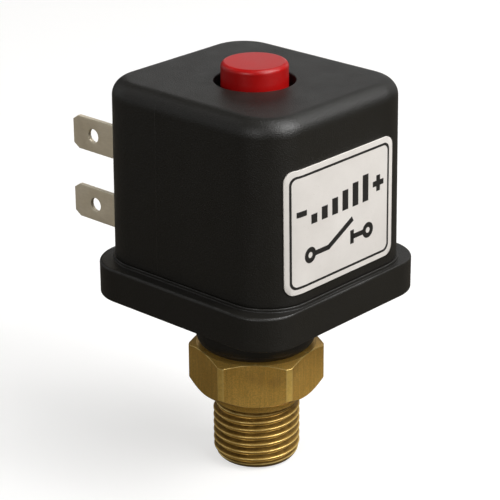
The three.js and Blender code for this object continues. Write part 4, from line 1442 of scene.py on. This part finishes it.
# ================================================================ CAD parts kept, edges rounded
KEPT_PARTS = {"terminal_block": 0.22, "contact_arm": 0.07, "pivot_bracket": 0.1,
              "cover_gasket": 0.1, "button_clip": 0.05}          # node: width of its bevel
for node, width in KEPT_PARTS.items():
    part = bpy.data.objects[node]
    finish_with(part, SLOT_OF[node])
    bevel(part, width, 35)

# ================================================================ floor
floor_mesh = bpy.data.meshes.new("floor")
bm = bmesh.new()
bmesh.ops.create_grid(bm, x_segments=12, y_segments=12, size=1.6)
bm.to_mesh(floor_mesh)
bm.free()
floor = bpy.data.objects.new("floor", floor_mesh)
floor.location = (0, 0, -0.0004)
bpy.context.scene.collection.objects.link(floor)


def mat_floor(name):
    """Pale to the camera, darker in the light it bounces back."""
    m = Mat(name)
    seen = m.node("LightPath").outputs["Is Camera Ray"]
    tone = m.remap(m.noise(scale=3.0, detail=3, rough=0.5), span=(0.3, 0.7), to=(0.985, 1.0))
    pale = m.mix(1.0, base=(0.45, 0.447, 0.442), over=m.combine(tone, tone, tone),
                 kind="MULTIPLY")
    grain = m.noise(scale=900, detail=3, rough=0.6)
    return m.finish(Emission_Color=(1.0, 0.995, 0.985), Emission_Strength=m.mul(seen, by=0.62),
                    Base_Color=m.mix(seen, base=(0.10, 0.088, 0.070), over=pale),
                    Roughness=0.85, Specular_IOR_Level=0.1,
                    Normal=m.bump(grain, depth=0.01, strength=0.3))


floor_mesh.materials.append(mat_floor("pale_floor"))


def direction(azimuth, elevation):
    """Unit vector. Azimuth 0 is -Y, in front of the label; 90 is +X."""
    return Vector((sin(azimuth) * cos(elevation), -cos(azimuth) * cos(elevation), sin(elevation)))


# ================================================================ camera
CAMERA_AZIMUTH, CAMERA_ELEVATION = radians(-47.709), radians(22.271)
CAMERA_ROLL = radians(-0.299)
CAMERA_DISTANCE, CAMERA_TARGET_Z = 363.19, 41.42
camera_data = bpy.data.cameras.new("camera")
camera = bpy.data.objects.new("camera", camera_data)
bpy.context.scene.collection.objects.link(camera)
backward = direction(CAMERA_AZIMUTH, CAMERA_ELEVATION)
right = (-backward).cross(Vector((0, 0, 1))).normalized()
upward = right.cross(-backward)
rolled_right = right * cos(CAMERA_ROLL) + upward * sin(CAMERA_ROLL)
rolled_up = upward * cos(CAMERA_ROLL) - right * sin(CAMERA_ROLL)
pose = Matrix((rolled_right, rolled_up, backward)).transposed().to_4x4()
pose.translation = Vector((0, 0, CAMERA_TARGET_Z * MM)) + backward * CAMERA_DISTANCE * MM
camera.matrix_world = pose
camera_data.sensor_width = 36.0
camera_data.lens = 145.603224
camera_data.shift_x, camera_data.shift_y = -0.011318, -0.010352
camera_data.clip_start, camera_data.clip_end = 0.02, 10.0
bpy.context.scene.camera = camera

# ================================================================ lights
# square soft boxes aimed at one point; metres
LIGHT_TARGET, LIGHT_DISTANCE, LIGHT_SIZE = (0, 0, 0.045), 0.7, 0.34
# name, azimuth and elevation in degrees, watts
LIGHTS = [
    ("key_right", 30, 42, 2.75), ("key_front", 0, 42, 2.55), ("top", 45, 68, 1.87),
    ("low_front", 0, 12, 0.45), ("side_right", 95, 12, 0.22), ("rim_right", 130, 12, 0.24),
    ("back", 165, 12, 0.03), ("rim_left", -170, 12, 0.18), ("side_left", -135, 12, 0.19),
    ("fill_left", -78, 28, 1.35), ("back_left", -165, 42, 0.25), ("back_right", 98, 48, 0.3)]
for name, azimuth, elevation, power in LIGHTS:
    light_data = bpy.data.lights.new(name, "AREA")
    light_data.shape, light_data.energy, light_data.color = "RECTANGLE", power, (1, 1, 1)
    light_data.size = light_data.size_y = LIGHT_SIZE
    light = bpy.data.objects.new(name, light_data)
    outward = direction(radians(azimuth), radians(elevation))
    light.location = Vector(LIGHT_TARGET) + outward * LIGHT_DISTANCE
    light.rotation_mode = "QUATERNION"
    light.rotation_quaternion = outward.to_track_quat("Z", "Y")
    bpy.context.scene.collection.objects.link(light)

# ================================================================ world and view
world = bpy.data.worlds.new("studio")
bpy.context.scene.world = world
world.use_nodes = True
world_tree = world.node_tree
world_tree.nodes.clear()
world_output = world_tree.nodes.new("ShaderNodeOutputWorld")
background = world_tree.nodes.new("ShaderNodeBackground")
background.inputs["Color"].default_value = (0.95, 0.96, 1.0, 1)
background.inputs["Strength"].default_value = 0.02
world_tree.links.new(background.outputs[0], world_output.inputs[0])
bpy.context.scene.view_settings.view_transform = "Standard"
bpy.context.scene.view_settings.look = "None"
